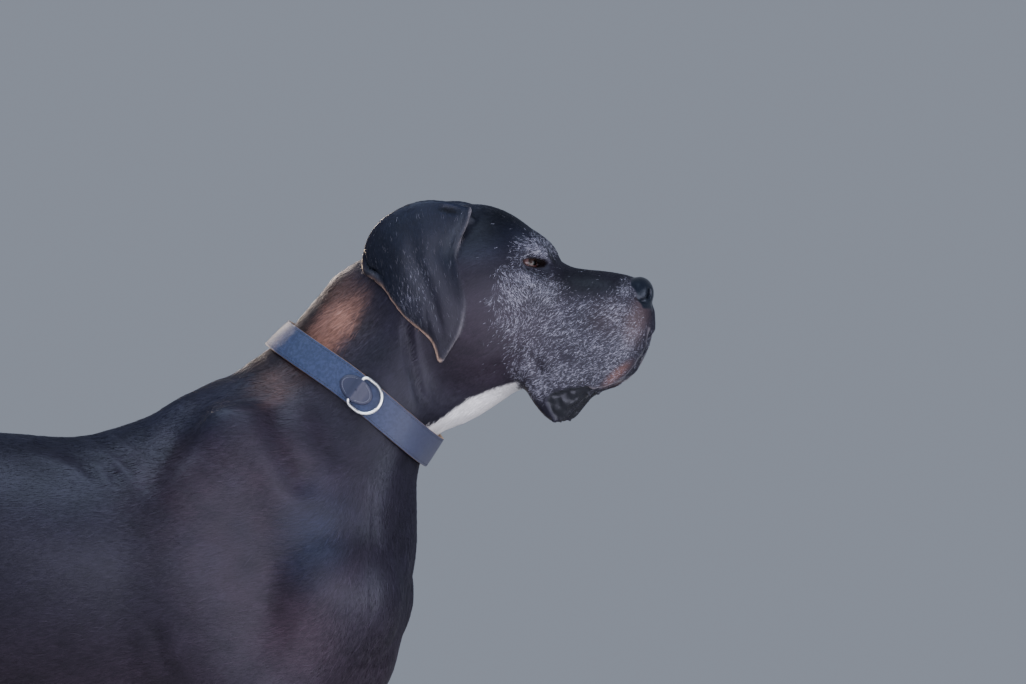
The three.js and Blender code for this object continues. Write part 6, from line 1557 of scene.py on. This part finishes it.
def facing_out(V, F):
    v0, v1, v2, v3 = (V[F[:, i]] for i in range(4)) if F.shape[1] == 4 else (*(V[F[:, i]] for i in range(3)), None)
    vol = (np.cross(v1 - v0, v2 - v0) * v0).sum()
    if v3 is not None:
        vol += (np.cross(v2 - v0, v3 - v0) * v0).sum()
    return F if vol > 0 else F[:, ::-1]

def section(w, lo, hi, r=1.0, crown=0.25):
    """Cross-section of a strap, w to each side, from lo to hi, its outer edges rounded: rows of (across, height, edge colour)."""
    s = [(-w + 0.2, lo, 1), (-w, lo + 0.3, 1)]
    for h in np.linspace(lo + 0.6, hi - r, 4):
        s.append((-w, h, 1))
    for g in np.linspace(0, 90, 5)[1:]:
        s.append((-w + r - r * math.cos(math.radians(g)), hi - r + r * math.sin(math.radians(g)), 1 if g < 30 else 0))
    for t in np.linspace(-w + r, w - r, 17)[1:-1]:
        x = abs(t) / w
        g = -0.45 * math.exp(-((abs(t) - (w - 2.9)) / 0.55) ** 2)      # the stitch groove
        s.append((t, hi + crown * (1 - x * x) + g, 0))
    right = [(-a, h, e) for a, h, e in s[:2 + 4 + 4]][::-1]
    return s + right

sec = section(W_, -1.2, H_, 1.0)
na = 300
A = np.linspace(0, 2 * math.pi, na, endpoint=False)
S_ = np.array(sec)
pts = strap_point(A[:, None], S_[None, :, 0], S_[None, :, 1]).reshape(-1, 3)
F = facing_out(pts, grid_faces(na, len(sec), True, True))
o = make("collar_strap_leather", pts, F, leather)
number(o, "edge", np.tile(S_[:, 2], na))
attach(o, "root"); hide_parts("collar_strap")

def stitches(name, where_to, mat, size=(1.55, 0.42, 0.38)):
    """Small oval stitches: rows of (point, along, up)."""
    V, F = [], []
    base_v = []
    for i in range(1, 4):
        for j in range(8):
            th, ph = math.pi * i / 4, 2 * math.pi * j / 8
            base_v.append((math.cos(th), math.sin(th) * math.cos(ph), math.sin(th) * math.sin(ph)))
    base_v += [(1, 0, 0), (-1, 0, 0)]
    base_v = np.array(base_v)
    f = []
    for i in range(2):
        for j in range(8):
            a, b, c, d = i * 8 + j, i * 8 + (j + 1) % 8, (i + 1) * 8 + (j + 1) % 8, (i + 1) * 8 + j
            f += [(a, b, c), (a, c, d)]
    for j in range(8):
        f += [(24, (j + 1) % 8, j), (25, 16 + j, 16 + (j + 1) % 8)]
    f = np.array(f)
    for k, (p, x, z) in enumerate(where_to):
        x = x / np.linalg.norm(x); z = z - x * (z @ x); z /= np.linalg.norm(z); y = np.cross(z, x)
        V.append(p + base_v[:, :1] * size[0] * x + base_v[:, 1:2] * size[1] * y + base_v[:, 2:] * size[2] * z)
        F.append(f + 26 * k)
    o = make(name, np.concatenate(V), np.concatenate(F), mat)
    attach(o, "root")
    return o

def row_of(a0, uv, h):
    """Stitches along a line of (u, v) on the collar, at height h."""
    uv = np.array(uv, float)
    p = strap_point(slide(a0, uv[:, 0]), uv[:, 1], H_ + h)
    out = []
    for i in range(len(p)):
        x = p[min(i + 1, len(p) - 1)] - p[max(i - 1, 0)]
        c = strap_point(slide(a0, uv[i, 0]), uv[i, 1], H_ + h + 3)
        out.append((p[i], x, c - p[i]))
    return out

total = _len[np.searchsorted(_fine, 2 * math.pi - 1e-9)] - _len[np.searchsorted(_fine, 0)]
steps = int(total / 3.9)
row = []
for v in (-W_ + 2.9, W_ - 2.9):
    row += row_of(0.0, [(total * i / steps, v) for i in range(steps)], -0.30)
stitches("collar_stitches", row, thread_dark, (1.55, 0.55, 0.42))

# the ring, its bar under a stitched tab
RING_AT, R_WIDE, R_DEEP, R_WIRE, R_LIFT, R_LEAN = math.radians(-94), 20.0, 36.0, 2.3, 4.5, 0.1
bar = strap_point(RING_AT, 0, H_)
ahead = strap_point(slide(RING_AT, 3), 0, H_) - bar; ahead /= np.linalg.norm(ahead)
across = strap_point(RING_AT, 15, H_) - strap_point(RING_AT, -15, H_); across /= np.linalg.norm(across)
normal = np.cross(ahead, across); normal /= np.linalg.norm(normal)
if normal @ outward(RING_AT) < 0:
    normal = -normal
def dee(nf=120, nw=20):
    V = []
    straight = R_DEEP - R_WIDE
    for i in range(nf):
        f = 2 * math.pi * i / nf
        if math.cos(f) >= 0:
            nx, ny = math.cos(f), math.sin(f); px, py = straight + R_WIDE * nx, R_WIDE * ny
        else:
            e, c, s = 5, math.cos(f), math.sin(f)
            k = (abs(c) ** e + abs(s) ** e) ** (-1 / e)
            px, py = straight + c * k * straight, s * k * R_WIDE
            nx, ny = -(abs(c * k) ** (e - 1)) / straight, math.copysign(abs(s * k) ** (e - 1), s) / R_WIDE
            l = math.hypot(nx, ny); nx /= l; ny /= l
        for j in range(nw):
            g = 2 * math.pi * j / nw
            u, v, h = px + R_WIRE * math.cos(g) * nx, py + R_WIRE * math.cos(g) * ny, R_LIFT - R_LEAN * px + R_WIRE * math.sin(g)
            V.append(bar + ahead * u + across * v + normal * h)
    V = np.array(V)
    return V, facing_out(V, grid_faces(nf, nw, True, True))
V, F = dee()
o = make("collar_d_ring", V, F, chrome)
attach(o, "root"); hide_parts("collar_ring")

def plate(name, a0, rx, ry, under, upper, mat, node, rings_=26, spokes=72, round_=1.0):
    """An oval leaf on the collar: rx along, ry across, its edge rounded."""
    V = []
    ks = np.linspace(0, 1, rings_ + 1)[1:]
    for side in (1, 0):
        for k in ks:
            for j in range(spokes):
                g = 2 * math.pi * j / spokes
                u, v = rx * k * math.cos(g), ry * k * math.sin(g)
                top, low = upper(u), under(u)
                e = max(0.0, (k - 0.9) / 0.1)
                h = top - (top - low) * 0.45 * e ** 2.2 if side else low + (top - low) * 0.12 * e ** 2
                V.append((u, v, h))
    V.append((0, 0, upper(0))); V.append((0, 0, under(0)))
    V = np.array(V)
    pts = strap_point(slide(a0, V[:, 0]), V[:, 1], H_ + V[:, 2])
    n, m = spokes, rings_
    F = []
    for s in (0, 1):
        o = s * n * m
        for i in range(m - 1):
            for j in range(n):
                q = (o + i * n + j, o + i * n + (j + 1) % n, o + (i + 1) * n + (j + 1) % n, o + (i + 1) * n + j)
                q = q if s == 0 else q[::-1]
                F += [(q[0], q[2], q[1]), (q[0], q[3], q[2])]
        for j in range(n):
            c = 2 * n * m + s
            t = (c, o + (j + 1) % n, o + j)
            F.append(t if s == 0 else t[::-1])
    for j in range(n):
        a, b = (m - 1) * n + j, (m - 1) * n + (j + 1) % n
        F += [(a, a + n * m, b + n * m), (a, b + n * m, b)]
    F = np.array(F)
    vol = (np.cross(pts[F[:, 1]] - pts[F[:, 0]], pts[F[:, 2]] - pts[F[:, 0]]) * pts[F[:, 0]]).sum()
    o = make(name, pts, F if vol > 0 else F[:, ::-1], mat)
    number(o, "edge", 0.0 * V[:, 0])
    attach(o, "root"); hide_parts(node)
    return o
hump = lambda u: 2.5 + 6.2 * math.exp(-((u / 7.5) ** 2))
plate("collar_tab_leather", RING_AT, 23, 15, lambda u: 0.3 + 0 * u, hump, tab_leather, "collar_tab")
row = []
for lo, hi in ((112, 248), (-68, 68)):
    arc = [(19.6 * math.cos(math.radians(g)), 11.8 * math.sin(math.radians(g))) for g in np.linspace(lo, hi, 15)]
    P_ = strap_point(slide(RING_AT, [a for a, _ in arc]), [b for _, b in arc], H_ + 2.5 + 0.05 + np.array([hump(a) - 2.5 for a, _ in arc]))
    for i in range(len(arc)):
        x = P_[min(i + 1, len(arc) - 1)] - P_[max(i - 1, 0)]
        row.append((P_[i], x, normal))
stitches("collar_tab_stitches", row, thread, (1.4, 0.45, 0.4))

# the fastening on its left side
BUCKLE_AT = math.radians(92)
def ribbon(name, a0, rows, under, upper, node):
    rows = np.array(rows, float)
    uu = np.linspace(rows[0, 0], rows[-1, 0], 70)
    ww = np.interp(-uu, -rows[:, 0], rows[:, 1])
    sec = [(-1, under), (-1, upper - 0.7), (-0.97, upper - 0.2), (-0.93, upper)] + [(t, upper + 0.1) for t in np.linspace(-0.8, 0.8, 9)] + [(0.93, upper), (0.97, upper - 0.2), (1, upper - 0.7), (1, under)]
    V = np.array([[(u, w * s, h) for s, h in sec] for u, w in zip(uu, ww)]).reshape(-1, 3)
    pts = strap_point(slide(a0, V[:, 0]), V[:, 1], H_ + V[:, 2])
    n, m = len(sec), len(uu)
    F = grid_faces(m, n, False, True)
    F = np.concatenate([F[:, [0, 1, 2]], F[:, [0, 2, 3]]])
    c0, c1 = len(pts), len(pts) + 1
    pts = np.concatenate([pts, [pts[:n].mean(0)], [pts[-n:].mean(0)]])
    j = np.arange(n); k = (j + 1) % n
    F = np.concatenate([F, np.stack([np.full(n, c0), k, j], -1), np.stack([np.full(n, c1), (m - 1) * n + j, (m - 1) * n + k], -1)])
    vol = (np.cross(pts[F[:, 1]] - pts[F[:, 0]], pts[F[:, 2]] - pts[F[:, 0]]) * pts[F[:, 0]]).sum()
    o = make(name, pts, F if vol > 0 else F[:, ::-1], leather)
    number(o, "edge", np.r_[np.tile([1, 1] + [0] * (n - 4) + [1, 1], m), 1, 1] * 0.9)
    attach(o, "root"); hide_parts(node)
ribbon("collar_free_end", BUCKLE_AT, [[24, 17.5], [-70, 17.5], [-76, 15.5], [-80, 12.0], [-83, 7.5], [-84.5, 3]], 0.45, 3.3, "collar_end")
row = []
for v in (-14.8, 14.8):
    row += row_of(BUCKLE_AT, [(u, v) for u in np.arange(20, -72, -3.9)], 3.3)
stitches("collar_end_stitches", row, thread)
for name in ("collar_buckle", "collar_tongue", "collar_keeper"):
    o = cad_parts[name]
    o.data.materials.clear(); o.data.materials.append(leather if name == "collar_keeper" else chrome)
    m = o.modifiers.new("weld", "WELD"); m.merge_threshold = 0.00002
    if name == "collar_keeper":
        m = o.modifiers.new("edges", "BEVEL"); m.width = 0.0005; m.segments = 2
    else:
        m = o.modifiers.new("round", "SUBSURF"); m.levels = 2; m.render_levels = 2


# ------------------------------------------------------- floor, light and camera
floor_mat, _, _ = material("floor", (0.62, 0.62, 0.61), 0.85)
me = bpy.data.meshes.new("floor")
me.from_pydata([(-14, -14, 0), (14, -14, 0), (14, 14, 0), (-14, 14, 0)], [], [(0, 1, 2, 3)])
me.materials.append(floor_mat)
floor = bpy.data.objects.new("floor", me)
bpy.context.scene.collection.objects.link(floor)

world = bpy.data.worlds.new("studio")
bpy.context.scene.world = world
world.use_nodes = True
world.node_tree.nodes["Background"].inputs[0].default_value = (0.74, 0.82, 1.0, 1)
world.node_tree.nodes["Background"].inputs[1].default_value = 0.34

def lamp(name, at, to, size, power, color):
    l = bpy.data.lights.new(name, "AREA")
    l.shape = "RECTANGLE"; l.size, l.size_y = size
    l.energy = power; l.color = color
    o = bpy.data.objects.new(name, l)
    o.location = at
    o.rotation_euler = (Vector(to) - Vector(at)).to_track_quat("-Z", "Y").to_euler()
    bpy.context.scene.collection.objects.link(o)
AIM = (0.25, 0.0, 0.80)
lamp("key_sky", (-0.7, -1.3, 3.8), AIM, (2.8, 2.0), 78, (0.74, 0.86, 1.0))
lamp("rim_sun", (-1.9, 3.0, 1.15), AIM, (0.8, 0.8), 85, (1.0, 0.74, 0.50))
spot = bpy.data.lights.new("low_sun", "SPOT")
spot.energy, spot.color, spot.spot_size, spot.spot_blend, spot.shadow_soft_size = 130, (1.0, 0.84, 0.74), math.radians(11.5), 0.3, 0.12
sun = bpy.data.objects.new("low_sun", spot)
sun.location = (-1.1, 1.9, 2.2)
sun.rotation_euler = (Vector((0.34, 0.0, 1.02)) - sun.location).to_track_quat("-Z", "Y").to_euler()
bpy.context.scene.collection.objects.link(sun)
lamp("front_fill", (3.4, -1.4, 1.3), (0.45, 0, 0.9), (1.8, 1.8), 40, (0.84, 0.90, 1.0))
lamp("side_fill", (0.4, -3.6, 1.1), AIM, (2.6, 1.4), 62, (0.95, 0.90, 1.0))
lamp("ground_bounce", (1.7, -1.5, 0.12), (0.40, 0.0, 0.85), (1.8, 1.4), 36, (0.98, 0.94, 1.0))

cam = bpy.data.cameras.new("camera")
camera = bpy.data.objects.new("camera", cam)
bpy.context.scene.collection.objects.link(camera)
bpy.context.scene.camera = camera
AZ, EL, AWAY = math.radians(4.5), math.radians(-2.0), 6.95
target = Vector((0.3697 + SHIFT[0] / 1000, SHIFT[1] / 1000, 0.8961))
toward = Vector((math.sin(AZ) * math.cos(EL), -math.cos(AZ) * math.cos(EL), math.sin(EL)))
cam.lens = 200.0; cam.sensor_width = 36.0; cam.sensor_fit = "HORIZONTAL"
cam.dof.use_dof = False
cam.clip_start = 0.05; cam.clip_end = 60
camera.location = target + toward * AWAY
camera.rotation_euler = (target - camera.location).to_track_quat("-Z", "Y").to_euler()

bpy.context.view_layer.update()
